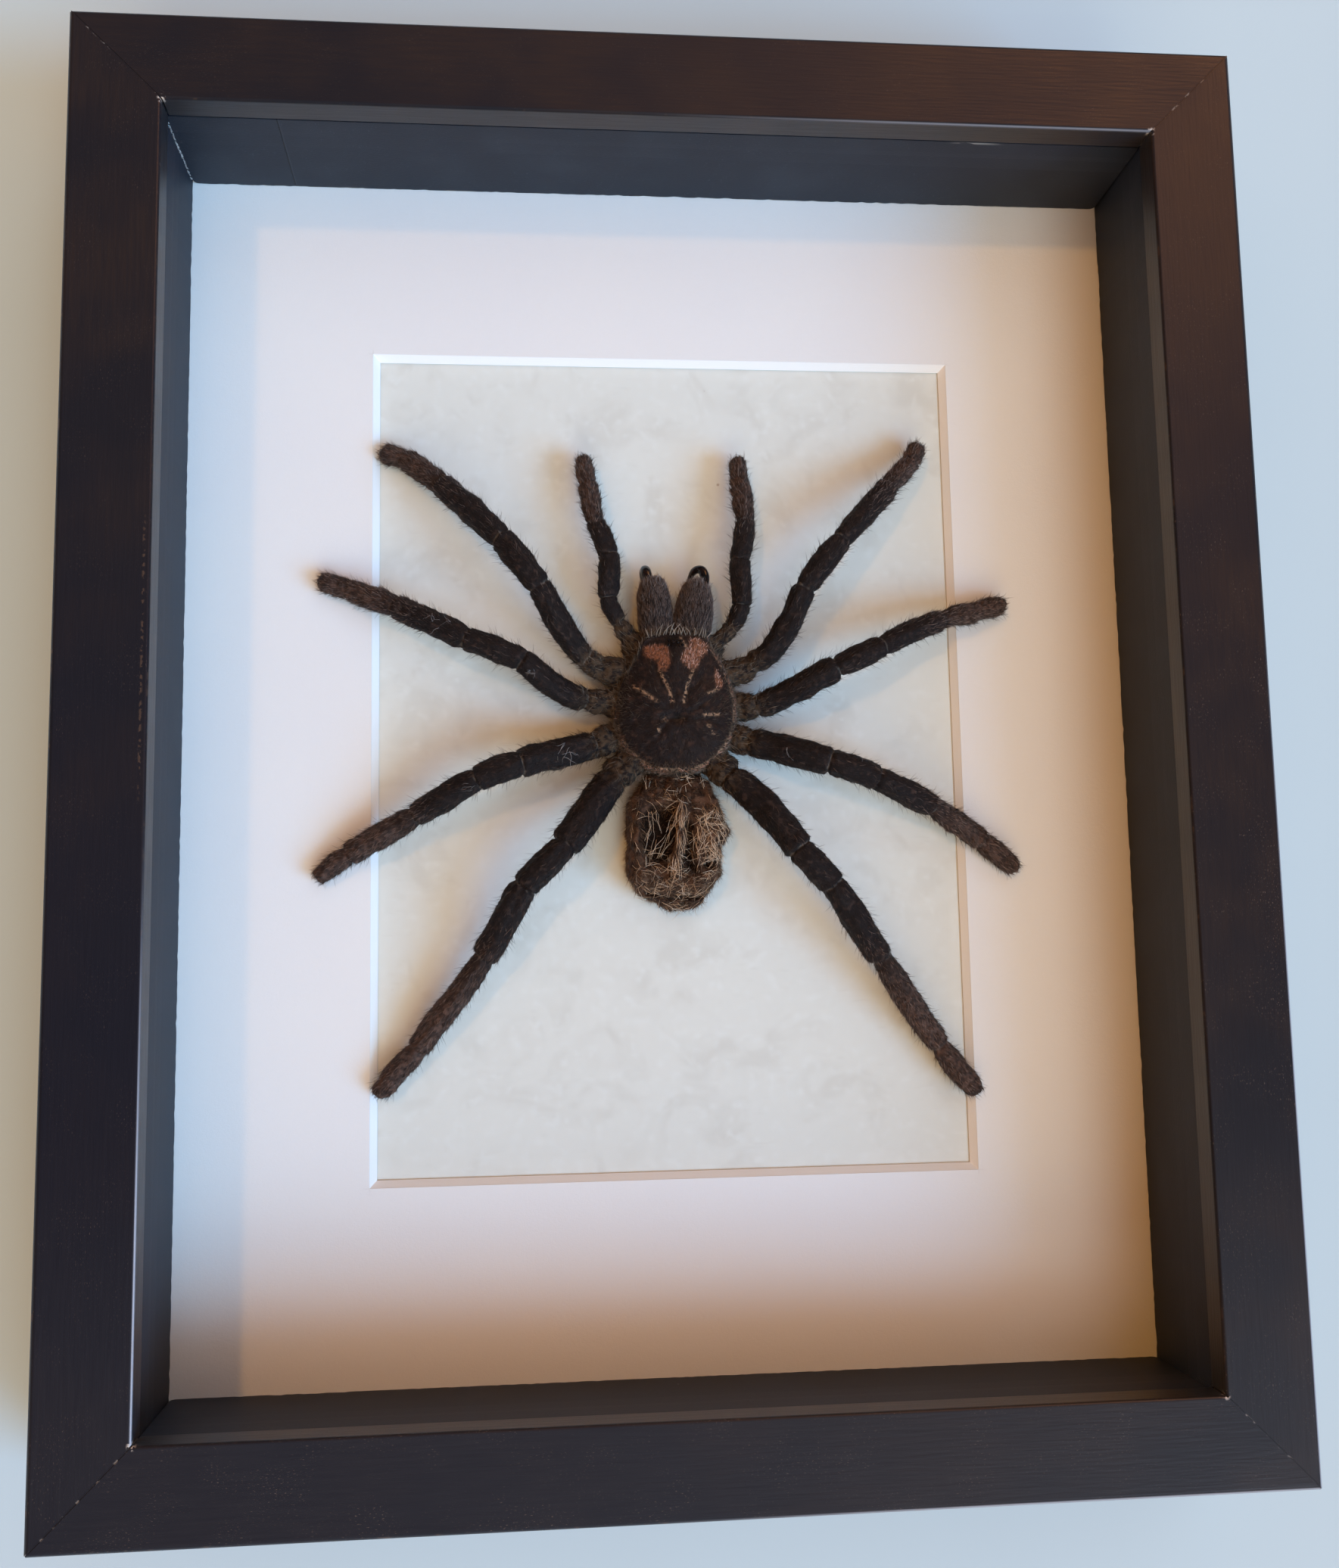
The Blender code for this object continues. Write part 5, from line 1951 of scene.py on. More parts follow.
    def _reach(self, turn: Array) -> Array:
        """Find how far the outline is from the middle.

        Args:
            turn: Directions from the middle, in radians.

        Returns:
            The distance in millimetres for each.
        """
        spokes = np.array(self.outline) - (self.x, self.y)
        angles = np.arctan2(spokes[:, 1], spokes[:, 0])
        return np.interp(turn, angles, np.hypot(spokes[:, 0], spokes[:, 1]), period=math.tau)

    def _out(self, places: Array) -> Array:
        """Measure how far out each point is, from 0 in the middle to 1 on the outline."""
        x, y = places[:, 0] - self.x, places[:, 1] - self.y
        return np.hypot(x, y) / self._reach(np.arctan2(y, x))

    def _margin(self, places: Array) -> Array:
        """Mask the tan margin, which shows on the right and along the rear.

        Args:
            places: Points in millimetres.

        Returns:
            1 on the palest of the margin and 0 inside it.
        """
        turn = np.arctan2(places[:, 1] - self.y, places[:, 0] - self.x)
        side = np.clip(0.55 + 0.80 * np.cos(turn + 0.85), 0.0, 1.0)
        patchy = 0.65 + 0.8 * roughness_at(places, 2.4, 33.0)
        return ease(self._out(places), 0.930, 0.960) * side * patchy.clip(0, 1)

    def _furrow(self, places: Array) -> Array:
        """Trace the furrows that run out from the central pit.

        Args:
            places: Points in millimetres.

        Returns:
            1 in a furrow and 0 between them.
        """
        x, y = places[:, 0] - self.x, places[:, 1] - self.fovea_y
        turn = np.abs(np.degrees(np.arctan2(x, y))) + 11.0 * roughness_at(places, 3.6, 61.0)
        out = np.hypot(x, y)
        depth = np.zeros(len(places))
        for angle in self.grooves:
            away = np.radians(turn - angle) * out
            depth = np.maximum(depth, np.exp(-(away / self.furrow_width) ** 2))
        return depth * ease(out, 1.6, 3.4) * (1 - ease(out, 8.6, 12.2))

    def _height(self, places: Array) -> Array:
        """Find the shield's upper surface.

        Args:
            places: Rows that start with x and y in millimetres.

        Returns:
            The lift above the paper for each.
        """
        places = np.column_stack([places[:, :2], np.zeros(len(places))])
        out = np.clip(self._out(places), 0.0, 1.0)
        y = places[:, 1]
        rim = self.rim + 2.7 * ease(y, 13.0, 24.5) - 0.9 * (1 - ease(y, -4.0, 4.0))
        lift = rim + (self.top - rim) * (1 - out ** 2) ** 0.42
        lift += 1.25 * hump(places, (1.4, 19.5), (4.4, 5.0)) * (1 - out ** 6)
        lift += 0.35 * hump(places, self.eyes_at, (1.5, 1.2))
        lift -= 1.25 * hump(places, (self.x, self.fovea_y), (2.2, 0.95))
        lift -= self.furrow_depth * self._furrow(places)
        for side in (-self.cheek_x, self.cheek_x):
            lift += 0.5 * hump(places, (self.x + side, 12.0), (3.0, 4.0))
        lift += 0.30 * ease(out, 0.94, 0.985)
        lift += 0.13 * roughness_at(places, 1.3, 2.0) + 0.32 * roughness_at(places, 3.2, 9.0)
        return lift

    def _spread(self, turn: Array, reach: Array) -> Array:
        """Find the flat places at distances from the middle in directions in radians."""
        return np.stack([self.x + reach * np.cos(turn), self.y + reach * np.sin(turn),
                         np.zeros(len(turn))], axis=1)

    def _shape(self, sphere: Array) -> Array:
        """Shape the shield from a unit sphere.

        Args:
            sphere: The sphere's vertices.

        Returns:
            Rows of x, y and lift in millimetres.
        """
        turn = np.arctan2(sphere[:, 1], sphere[:, 0])
        out = np.hypot(sphere[:, 0], sphere[:, 1])
        ragged = 1.0 + 0.02 * roughness_at(sphere * 12.0, 2.2, 14.0) * ease(out, 0.8, 1.0)
        reach = out * self._reach(turn) * ragged
        places = self._spread(turn, reach)
        upper = self._height(places)
        edge = self._height(self._spread(turn, self._reach(turn)))
        lower = edge - self.under * np.maximum(-sphere[:, 2], 0.0) ** 0.5
        places[:, 2] = np.where(sphere[:, 2] < 0, lower, upper)
        return places

    def _underside(self, skin: Material) -> None:
        """Model the breast plate and the stalk that carries the abdomen.

        Args:
            skin: Their material.
        """
        plate = add(bpy.ops.mesh.primitive_uv_sphere_add, "plate", segments=48, ring_count=24,
                    radius=1.0)
        places = vertices_of(plate) * self.plate
        places += unit(places) * 0.25 * roughness_at(places, 2.4, 4.0)[:, None]
        centre = np.array(above_paper(self.x, 9.5, 3.8)) / MM
        set_vertices(plate, (places + centre) * MM)
        smooth(plate)
        knots = [above_paper(self.x, *knot) for knot in self.stalk]
        stalk = Tube("stalk", smooth_route(knots, 6), 6, list(self.stalk_rings)).build(
            lambda points, _: 0.18 * roughness_at(points, 0.8, 6.0))
        underside = join([plate, stalk], "sternum_and_stalk")
        set_field(underside, "hollow", np.zeros(len(underside.data.vertices)))
        mount(underside, skin, "body_skin")

    def _eyes(self, horn: Material) -> None:
        """Set eight small eyes on their low mound.

        Args:
            horn: Their material.
        """
        across = np.array([(side * x, y, size) for side in (-1, 1) for x, y, size in (
            (0.46, 0.34, 0.40), (1.22, 0.70, 0.34), (1.36, -0.20, 0.30), (0.80, -0.48, 0.22))])
        places = across[:, :2] + self.eyes_at
        lifts = self._height(places)
        beads = []
        for (x, y), lift, size in zip(places, lifts, across[:, 2]):
            place = above_paper(x, y, lift + 0.15 * size)
            beads.append(add(bpy.ops.mesh.primitive_uv_sphere_add, "bead", segments=24,
                             ring_count=12, radius=size * MM, location=place))
            settle(beads[-1])
            smooth(beads[-1])
        mount(join(beads, "eye_cluster"), horn, "fang")

    def _outward(self, roots: Roots) -> Array:
        """Point away from the central pit."""
        return (roots.points - np.array([self.x, self.fovea_y, 0.0])) * LEVEL

    def _on_top(self, roots: Roots, below: float = 0.0) -> Array:
        """Find what is on the upper side, or less than a distance in millimetres under the rim."""
        return roots.points[:, 2] > height_above_paper(self.rim) - below

    def _bare_of(self, roots: Roots) -> Array:
        """Favour the upper side where it is neither ochre nor sunk."""
        taken = np.clip(roots.fields["ochre"] + roots.fields["hollow"], 0.0, 1.0)
        return self._on_top(roots) * (1 - 0.85 * taken)

    def _velvet(self, surface: Skin, velvet: Material) -> None:
        """Cover the shield in flat velvet.

        Args:
            surface: The shield's skin.
            velvet: The black hair's material.
        """
        dark = Fleece(self.velvet_seed)
        dark.cover(surface, 6500, self._bare_of, self._outward,
                   Coat((0.45, 0.95), 0.040, (6, 24), 20.0), (0.0, 0.38))
        dark.make("carapace_velvet", velvet, "body_skin")

    def _down(self, surface: Skin, down: Material) -> None:
        """Add brown down near the edges, a fringe, and the comb over the jaws.

        Args:
            surface: The shield's skin.
            down: The brown hair's material.
        """
        def dusty(roots: Roots) -> Array:
            """Favour the border, the rear and a patch on each side."""
            points = roots.points
            border = ease(self._out(points), 0.80, 0.97) * ease(19.0 - points[:, 1], 0.0, 4.0)
            left = hump(points, (-8.5, 10.0), (2.2, 4.5))
            right = hump(points, (12.0, 10.5), (1.8, 3.2))
            rear = ease(-points[:, 1], 0.0, 3.5)
            return self._bare_of(roots) * (1.2 * border + rear + 0.5 * left + 0.7 * right + 0.06)

        def on_rim(roots: Roots) -> Array:
            """Favour the rim."""
            return (self._out(roots.points) > 0.97) * self._on_top(roots, 1.6) * 1.0

        coat = Fleece(self.down_seed)
        coat.cover(surface, 2000, dusty, self._outward,
                   Coat((0.7, 1.7), 0.036, (6, 34), 30.0), (0.08, 0.66))
        coat.cover(surface, 3000, on_rim, self._outward,
                   Coat((1.2, 3.0), 0.040, (-20, 26), 32.0, 0.25, sections=3), (0.08, 0.85))
        self._comb(coat)
        coat.make("carapace_down", down, "body_skin")

    def _pale_hair(self, surface: Skin, ochre: Material) -> None:
        """Add the ochre patches, and the pale hairs of the lines and the margin.

        Args:
            surface: The shield's skin.
            ochre: The ochre hair's material.
        """
        def on_ochre(roots: Roots) -> Array:
            """Favour the ochre patches."""
            return self._on_top(roots) * roots.fields["ochre"] ** 1.5

        def left(roots: Roots) -> Array:
            """Favour the ochre on the left."""
            return on_ochre(roots) * (roots.points[:, 0] < self.parting)

        def right(roots: Roots) -> Array:
            """Favour the ochre on the right."""
            return on_ochre(roots) * (roots.points[:, 0] > self.parting)

        def on_lines(roots: Roots) -> Array:
            """Favour the tan lines."""
            return self._on_top(roots, 1.2) * roots.fields["line"] ** 2

        def on_margin(roots: Roots) -> Array:
            """Favour the tan margin."""
            return self._margin(roots.points) * self._on_top(roots, 1.4)

        def forward(roots: Roots) -> Array:
            """Point to the jaws and a little outwards."""
            return FORWARD + 0.35 * unit(self._outward(roots))

        def around(roots: Roots) -> Array:
            """Point outwards and round to the rear."""
            outward = self._outward(roots)
            side = np.sign(roots.points[:, :1] - self.parting)
            return outward + 1.1 * (np.cross(outward, -UP) * side)

        patches = Fleece(self.pale_seed)
        # painted highlight: the right ochre patch has paler tones than the left, as if lit
        for count, density, grain, coat, tone in (
                (1400, left, forward, Coat((0.5, 1.05), 0.050, (8, 34), 22.0), (0.15, 0.72)),
                (2100, right, forward, Coat((0.5, 1.05), 0.050, (8, 34), 22.0), (0.62, 1.0)),
                (1100, on_lines, self._outward, Coat((0.45, 0.9), 0.036, (4, 20), 16.0),
                 (0.40, 0.9)),
                (1500, on_margin, around, Coat((0.8, 1.9), 0.036, (2, 24), 26.0, 0.2, sections=3),
                 (0.35, 0.85))):
            patches.cover(surface, count, density, grain, coat, tone)
        patches.make("carapace_ochre_hair", ochre, "body_skin")

    def _comb(self, coat: Fleece) -> None:
        """Add the two fans of stiff pale bristles over the jaws, and the tuft between them.

        Args:
            coat: The hairs that it joins.
        """
        rng = coat.rng
        for low, high, lean, count in self.comb:
            across = np.linspace(low, high, count) + rng.uniform(-0.25, 0.25, count)
            arc = 0.02 * (across - 1.8) ** 2
            along = self.comb_y - arc + rng.uniform(-0.15, 0.15, count)
            lift = self._height(np.stack([across, along - 0.3], axis=1)) + height_above_paper()
            starts = np.stack([across, along, lift], axis=1)
            fan = 0.45 * np.linspace(-1.0, 1.0, count) - 0.9 * lean
            heading = unit(np.stack([fan + rng.normal(0, 0.16, count), np.ones(count),
                                     rng.uniform(0.35, 0.85, count)], axis=1))
            bend = np.stack([rng.normal(2.0 * lean, 0.2, count), np.zeros(count),
                             np.full(count, -0.40)], axis=1)
            stiff = Coat((1.8, 3.5), 0.105, (0, 0), 0.0, sections=6)
            length = rng.uniform(*stiff.length, count) * (1.0 if lean else 0.62)
            coat.spikes(starts, heading, bend, length, stiff, rng.uniform(0.85, 1.0, count))


Knots = tuple[tuple[float, float, float, float], ...]


@dataclass
class Jaws:
    """Two chelicerae with their fangs folded in under the front."""

    chelicerae: dict[str, Knots] = field(default_factory=lambda: {
        "chelicera_left": ((-1.8, 22.5, 7.6, 2.9), (-2.1, 26.0, 7.9, 3.7), (-2.35, 29.6, 8.0, 3.8),
                           (-2.65, 33.2, 7.8, 3.5), (-2.75, 35.8, 7.3, 2.8),
                           (-2.8, 37.0, 7.0, 2.0)),
        "chelicera_right": ((4.9, 22.5, 7.6, 2.9), (5.35, 26.0, 7.9, 3.9), (5.65, 29.6, 8.0, 4.2),
                            (6.1, 32.9, 7.8, 3.7), (6.35, 35.5, 7.3, 2.8), (6.4, 36.7, 7.0, 2.0))})
    fangs: dict[str, Knots] = field(default_factory=lambda: {
        "fang_left": ((-3.6, 35.4, 7.6, 1.2), (-4.0, 38.2, 7.7, 1.15), (-4.2, 39.3, 6.7, 1.05),
                      (-4.5, 39.1, 4.9, 0.85), (-4.4, 38.1, 3.2, 0.55), (-4.2, 36.9, 2.2, 0.18)),
        "fang_right": ((7.7, 35.2, 7.6, 1.1), (8.1, 37.6, 8.0, 1.05), (7.5, 39.2, 7.5, 0.95),
                       (6.2, 39.3, 6.3, 0.80), (5.4, 38.2, 4.4, 0.55), (4.8, 36.9, 2.6, 0.18))})
    furrow: Point = (3.0, 1.0, 1.0)
    steps: int = 6
    seeds: int = 700

    def build(self, finishes: Finishes) -> None:
        """Model both jaws, their fangs and their bristles.

        Args:
            finishes: The specimen's materials.
        """
        for number, (name, knots) in enumerate(self.chelicerae.items()):
            tube = self._tube(name, knots, "Z_UP")
            form = tube.build(
                lambda places, _: 0.12 * roughness_at(places / self.furrow, 0.9, 8.0 + number)
                + 0.18 * roughness_at(places, 2.6, 3.0))
            form.name = f"{name}_skin"
            mount(form, finishes["limb_skin"], "leg_skin", name)
            bristles = finishes["jaw_bristles"]
            self._bristles(name, tube, Skin.of(form, "reach"), bristles, self.seeds + number)
        for name, knots in self.fangs.items():
            form = self._tube(name, knots, "MINIMUM").build()
            form.name = f"{name}_horn"
            mount(form, finishes["black_horn"], "fang", name)

    def _tube(self, name: str, knots: Knots, twist: str) -> Tube:
        """Lay out a jaw or a fang.

        Args:
            name: Its name.
            knots: Rows of x, y, lift and radius.
            twist: How its cross-section turns along the route.

        Returns:
            Its form.
        """
        route = smooth_route([above_paper(*knot[:3]) for knot in knots], self.steps)
        radii = [knot[3] for knot in knots]
        rings = [(reach, float(np.interp(reach, range(len(radii)), radii)))
                 for reach in np.arange(0, len(knots) - 0.99, 0.5)]
        return Tube(name, route, self.steps, rings, 16, 2, twist)

    @staticmethod
    def _bristles(name: str, tube: Tube, surface: Skin, hair: Material, seed: int) -> None:
        """Lay bristles forward over a jaw.

        Args:
            name: The jaw's name.
            tube: Its form.
            surface: Its skin.
            hair: The bristles' material.
            seed: Fixes every random choice.
        """
        def showing(roots: Roots) -> Array:
            """Favour what stands out of the head."""
            return (roots.fields["reach"] > 0.5) * 1.0

        def tall(roots: Roots) -> Array:
            """Favour the upper side."""
            return (roots.fields["reach"] > 0.8) * (roots.normals[:, 2] > -0.1) * 1.0

        def front(roots: Roots) -> Array:
            """Favour the front half."""
            return ease(roots.fields["reach"], 1.6, 3.4)

        def brush(roots: Roots) -> Array:
            """Favour the upper front edge."""
            reach = roots.fields["reach"]
            band = ease(reach, 3.0, 4.0) * (1 - ease(reach, 4.6, 4.8))
            return band * (roots.normals[:, 2] > -0.3)

        fleece = Fleece(seed)
        for count, density, coat, tone in (
                (3600, showing, Coat((0.7, 1.3), 0.040, (4, 18), 7.0), (0.0, 0.34)),
                (700, front, Coat((0.8, 1.6), 0.042, (4, 20), 9.0), (0.30, 0.66)),
                (420, tall, Coat((1.2, 2.2), 0.040, (3, 14), 6.0, sections=3), (0.20, 0.62)),
                (420, brush, Coat((1.0, 2.0), 0.042, (8, 46), 20.0, 0.2, sections=3), (0.35, 0.90)),
                (130, showing, Coat((1.2, 2.2), 0.034, (30, 60), 18.0, 0.2, sections=3),
                 (0.1, 0.6))):
            fleece.cover(surface, count, density, tube.grain, coat, tone)
        fleece.make(f"{name}_bristles", hair, "leg_skin")


Fold = tuple[float, float, tuple[Place, ...]]


@dataclass
class Abdomen:
    """The shrivelled abdomen: a rolled edge, hollows, and matted golden hair."""

    front: float = -3.2
    rear: float = -31.4
    top: float = 9.2
    bottom: float = 0.35
    least_lift: float = 0.3
    power: float = 4.0
    cuts: int = 43
    sunk_full: float = 1.8
    tuft: int = 14
    short_seed: int = 601
    long_seed: int = 602
    left: tuple[Place, ...] = (
        (-31.4, 0.2), (-30.9, -1.0), (-29.8, -2.9), (-28.9, -4.8), (-28.2, -6.2), (-26.4, -7.4),
        (-25.2, -8.5), (-22.5, -8.8), (-17.9, -8.5), (-12.9, -8.6), (-9.0, -8.2), (-7.8, -7.0),
        (-6.2, -5.8), (-3.2, -4.0))
    right: tuple[Place, ...] = (
        (-31.4, 2.6), (-31.0, 5.0), (-29.7, 6.8), (-28.5, 7.1), (-26.4, 8.6), (-25.4, 9.4),
        (-24.3, 10.4), (-23.2, 10.1), (-22.0, 10.1), (-18.9, 10.2), (-17.4, 11.2), (-16.2, 12.0),
        (-15.4, 12.3), (-14.4, 11.7), (-13.0, 11.0), (-11.1, 10.5), (-8.4, 9.5), (-6.4, 8.6),
        (-3.2, 6.4))
    hollow: tuple[Place, ...] = (
        (-5.4, -12.4), (-3.8, -10.8), (0.3, -11.0), (0.9, -14.0), (0.5, -18.0), (-0.7, -21.6),
        (-4.4, -21.8), (-5.9, -17.5))
    ridges: tuple[Fold, ...] = (
        (1.0, 1.2, ((-7.0, -9.0), (-7.2, -16), (-7.4, -22), (-6.2, -26.2))),
        (1.3, 1.1, ((2.2, -9.5), (2.0, -13.0), (1.6, -16.5), (0.8, -20.5), (0.6, -24.5))),
        (0.9, 1.4, ((8.6, -8.0), (9.2, -13.5), (8.8, -19.5))),
        (1.0, 1.2, ((-6.0, -24.8), (-1.2, -26.5), (6.8, -26.4))))
    creases: tuple[Fold, ...] = (
        (2.6, 0.90, ((3.6, -14.6), (3.7, -18.8))), (2.8, 1.15, ((3.4, -20.4), (3.9, -22.9))),
        (1.5, 0.55, ((-5.0, -27.9), (0.0, -29.0), (6.2, -28.8))))
    strays: tuple[tuple[Place, Place, int, float, Place], ...] = (
        ((-5.0, -18.4), (0.5, 1.6), 4, 74.0, (4.0, 6.5)),
        ((-3.0, -20.6), (1.6, 0.6), 6, 56.0, (4.5, 7.0)),
        ((-1.2, -17.6), (0.9, 2.0), 4, 74.0, (3.0, 5.0)),
        ((-3.2, -12.0), (1.8, 0.6), 5, -92.0, (2.5, 4.5)),
        ((-4.8, -20.4), (0.4, 0.4), 2, 16.0, (3.0, 4.5)),
        ((-5.2, -22.4), (1.2, 1.2), 6, 75.0, (2.0, 3.6)),
        ((0.0, -23.8), (0.9, 0.8), 6, 80.0, (2.0, 3.4)),
        ((-5.0, -7.0), (0.2, 0.3), 2, 88.0, (2.6, 3.4)),
        ((6.8, -6.8), (0.2, 0.3), 2, 82.0, (2.2, 3.0)),
        ((0.2, -9.3), (0.2, 0.2), 2, 178.0, (2.6, 3.4)),
        ((1.6, -9.9), (0.4, 0.3), 2, 115.0, (2.2, 3.0)),
        ((2.4, -8.0), (1.8, 0.7), 5, 80.0, (1.2, 2.2)),
        ((2.4, -4.8), (1.7, 0.45), 9, 20.0, (0.7, 1.6)))

    def build(self, finishes: Finishes) -> None:
        """Model the abdomen and its hair.

        Args:
            finishes: The specimen's materials.
        """
        form = add(bpy.ops.mesh.primitive_cube_add, "abdomen_hide", size=2.0)
        with Editing(form):
            bpy.ops.mesh.subdivide(number_cuts=self.cuts)
        places, hollow = self._shape(vertices_of(form))
        set_vertices(form, (places + UP * height_above_paper()) * MM)
        # painted shade: this field darkens the hide in its hollows and creases
        set_field(form, "hollow", hollow)
        apply_modifier(form, "SUBSURF", levels=1, render_levels=1)
        smooth(form)
        mount(form, finishes["abdomen_hide"], "abdomen_skin", "abdomen")
        surface = Skin.of(form, "hollow")
        self._short_hair(surface, finishes["abdomen_nap"])
        self._long_hair(surface, finishes["golden_hair"])

    def _shape(self, cube: Array) -> tuple[Array, Array]:
        """Shape the abdomen from a cube.

        Args:
            cube: The cube's vertices.

        Returns:
            Rows of x, y and lift in millimetres, and how deep in a hollow each is.
        """
        power = self.power
        norm = (np.abs(cube) ** power).sum(axis=1) ** (1 / power)
        round_form = cube / norm[:, None] * np.abs(cube).max(axis=1)[:, None]
        along, up = round_form[:, 1], round_form[:, 2]
        limit = np.maximum(1 - np.abs(along) ** power, 0.02) ** (1 / power)
        across = np.clip(round_form[:, 0] / limit, -1.0, 1.0)
        middle, half = (self.front + self.rear) / 2, (self.front - self.rear) / 2
        y = middle + half * along
        left, right = (np.interp(y, *zip(*side)) for side in (self.left, self.right))
        x = (left + right) / 2 + (right - left) / 2 * across
        places = np.stack([x, y, np.zeros(len(x))], axis=1)
        top = self.top - 2.6 * np.maximum(along, 0.0) ** 4 - 4.4 * np.maximum(-along, 0.0) ** 5
        relief, hollow = self._relief(places)
        above = np.clip((up + 1) / 2, 0.0, 1.0)
        places[:, 2] = self.bottom + (top - self.bottom) * above + relief * ease(up, -0.1, 0.9)
        rough = 0.55 * roughness_at(places, 2.2, 21.0) + 0.42 * roughness_at(places, 0.9, 5.0)
        outward = np.stack([across, 0.6 * along, 0.4 * up], axis=1)
        places += unit(outward) * (rough * (up > -0.8))[:, None]
        places[:, 2] = np.maximum(places[:, 2], self.least_lift)
        return places, hollow * (up > 0)

    def _relief(self, places: Array) -> tuple[Array, Array]:
        """Raise and sink the top of the abdomen.

        Args:
            places: Rows that start with x and y in millimetres.

        Returns:
            The rise at each, and how deep in a hollow each is.
        """
        rise, creased = (sum(size * stripe(places, line, width) for size, width, line in folds)
                         for folds in (self.ridges, self.creases))
        rise = rise + 0.8 * hump(places, (6.0, -13.0), (2.2, 3.0))
        sunk = (3.2 * patch(places, self.hollow, 0.9) + creased
                + 3.0 * hump(places, (7.6, -22.4), (1.05, 0.95))
                + 0.8 * hump(places, (5.4, -23.8), (1.4, 0.8)))
        return rise - sunk, np.clip(sunk / self.sunk_full, 0.0, 1.0)

    def _showing(self, roots: Roots, least: float = 0.0) -> Array:
        """Favour what is not sunk and faces up, where 1 is straight up, by more than the least."""
        return (roots.normals[:, 2] > least) * (1 - 0.95 * roots.fields["hollow"])

    def _fuzzy(self, roots: Roots) -> Array:
        """Favour the open top, less in front and on the left.

        Args:
            roots: Where the hairs stand.

        Returns:
            How likely each place is, from 0 to 1.
        """
        x, y = roots.points[:, 0], roots.points[:, 1]
        return (self._showing(roots, 0.15) * (1 - 0.72 * ease(y, -12.0, -9.0))
                * (0.2 + 0.8 * ease(x, -5.8, -3.0)))

    @staticmethod
    def _on_band(roots: Roots) -> Array:
        """Favour the roll along the rear."""
        line = ((-6.4, -24.4), (-1.3, -26.6), (6.8, -26.6))
        return stripe(roots.points, line, 1.5) * (roots.normals[:, 2] > 0.0)

    @staticmethod
    def _at_sides(roots: Roots) -> Array:
        """Favour the sides."""
        return (np.abs(roots.normals[:, 2]) < 0.6) * (roots.points[:, 2] > height_above_paper(2.0))

    def _short_hair(self, surface: Skin, down: Material) -> None:
        """Mat the abdomen with short brown hair.

        Args:
            surface: Its skin.
            down: The short hair's material.
        """
        def anywhere(roots: Roots) -> Array:
            """Favour clumps on all but the lowest part."""
            clumps = 0.2 + 0.8 * ease(roughness_at(roots.points, 1.9, 77.0), -0.12, 0.22)
            above = roots.points[:, 2] > height_above_paper(2.0)
            return above * (1 - 0.85 * roots.fields["hollow"]) * clumps

        def down_and_back(roots: Roots) -> Array:
            """Point outwards, a little down and to the rear."""
            return roots.normals + np.array([0.0, -0.5, -0.2])

        short = Fleece(self.short_seed)
        for count, density, grain, coat, tone in (
                (7000, anywhere, self._comb(short, -90.0, 120.0, 26.0, 0.4),
                 Coat((0.6, 1.4), 0.040, (8, 40), 20.0, 0.2), (0.02, 0.50)),
                (1200, self._fuzzy, self._comb(short, -80.0, 160.0, 30.0, 0.8),
                 Coat((0.9, 2.0), 0.036, (8, 44), 20.0, 0.3, sections=3), (0.02, 0.36)),
                (1700, self._on_band, self._comb(short, -20.0, 160.0, 34.0, 1.0),
                 Coat((0.9, 2.2), 0.038, (4, 34), 18.0, 0.3, sections=3), (0.20, 0.78)),
                (900, self._at_sides, down_and_back,
                 Coat((1.0, 2.4), 0.030, (20, 70), 26.0, 0.25, sections=3), (0.0, 0.5))):
            short.cover(surface, count, density, grain, coat, tone)
        short.make("abdomen_down", down, "abdomen_skin")

    def _long_hair(self, surface: Skin, gold: Material) -> None:
        """Lay long golden hair in locks and strays.

        Args:
            surface: The abdomen's skin.
            gold: The long hair's material.
        """
        def on_ridge(roots: Roots) -> Array:
            """Favour the ridge down the middle."""
            line = ((2.2, -10.4), (2.0, -14.0), (1.5, -17.0), (0.8, -21.0), (0.6, -24.4))
            return stripe(roots.points, line, 0.95) * (roots.normals[:, 2] > 0.0) * (
                1 - roots.fields["hollow"])

        def on_right(roots: Roots) -> Array:
            """Favour the right half."""
            outline = ((4.4, -11.0), (9.8, -10.5), (10.4, -14.0), (9.6, -21.0), (5.2, -21.4))
            return patch(roots.points, outline, 0.8) * self._showing(roots, 0.15)

        def on_rear(roots: Roots) -> Array:
            """Favour the rear on the right."""
            outline = ((1.4, -23.0), (9.4, -21.8), (9.2, -25.0), (5.0, -27.2))
            return patch(roots.points, outline, 0.8) * self._showing(roots, 0.15)

        long = Fleece(self.long_seed)
        for count, density, grain, coat, tone in (
                (900, on_ridge, self._comb(long, -94.0, 22.0, 7.0, 0.3),
                 Coat((2.4, 4.8), 0.056, (3, 18), 6.0, 0.14, 0.2, 5, 0.03), (0.40, 1.0)),
                (430, on_right, self._comb(long, -88.0, 70.0, 22.0, 0.3),
                 Coat((2.4, 5.2), 0.062, (3, 30), 12.0, 0.22, 0.25, 6, 0.06), (0.50, 1.0)),
                (300, on_rear, self._comb(long, 70.0, 160.0, 30.0, 0.2),
                 Coat((1.4, 3.0), 0.046, (3, 26), 12.0, 0.2, 0.25, 5, 0.04), (0.35, 0.95)),
                (330, self._on_band, self._comb(long, -20.0, 150.0, 30.0, 0.8),
                 Coat((1.4, 2.8), 0.046, (4, 34), 16.0, 0.3, 0.25, 4, 0.03), (0.25, 0.85)),
                (340, self._fuzzy, self._comb(long, -90.0, 110.0, 34.0, 0.4),
                 Coat((1.8, 4.4), 0.054, (4, 30), 18.0, 0.3, 0.25, 6, 0.05), (0.35, 1.0)),
                (70, self._at_sides, self._comb(long, -60.0, 90.0, 30.0, 0.0),
                 Coat((1.6, 3.0), 0.028, (30, 70), 22.0, 0.3, 0.1, 4), (0.3, 0.9))):
            long.cover(surface, count, density, grain, coat, tone)
        self._strays(long)
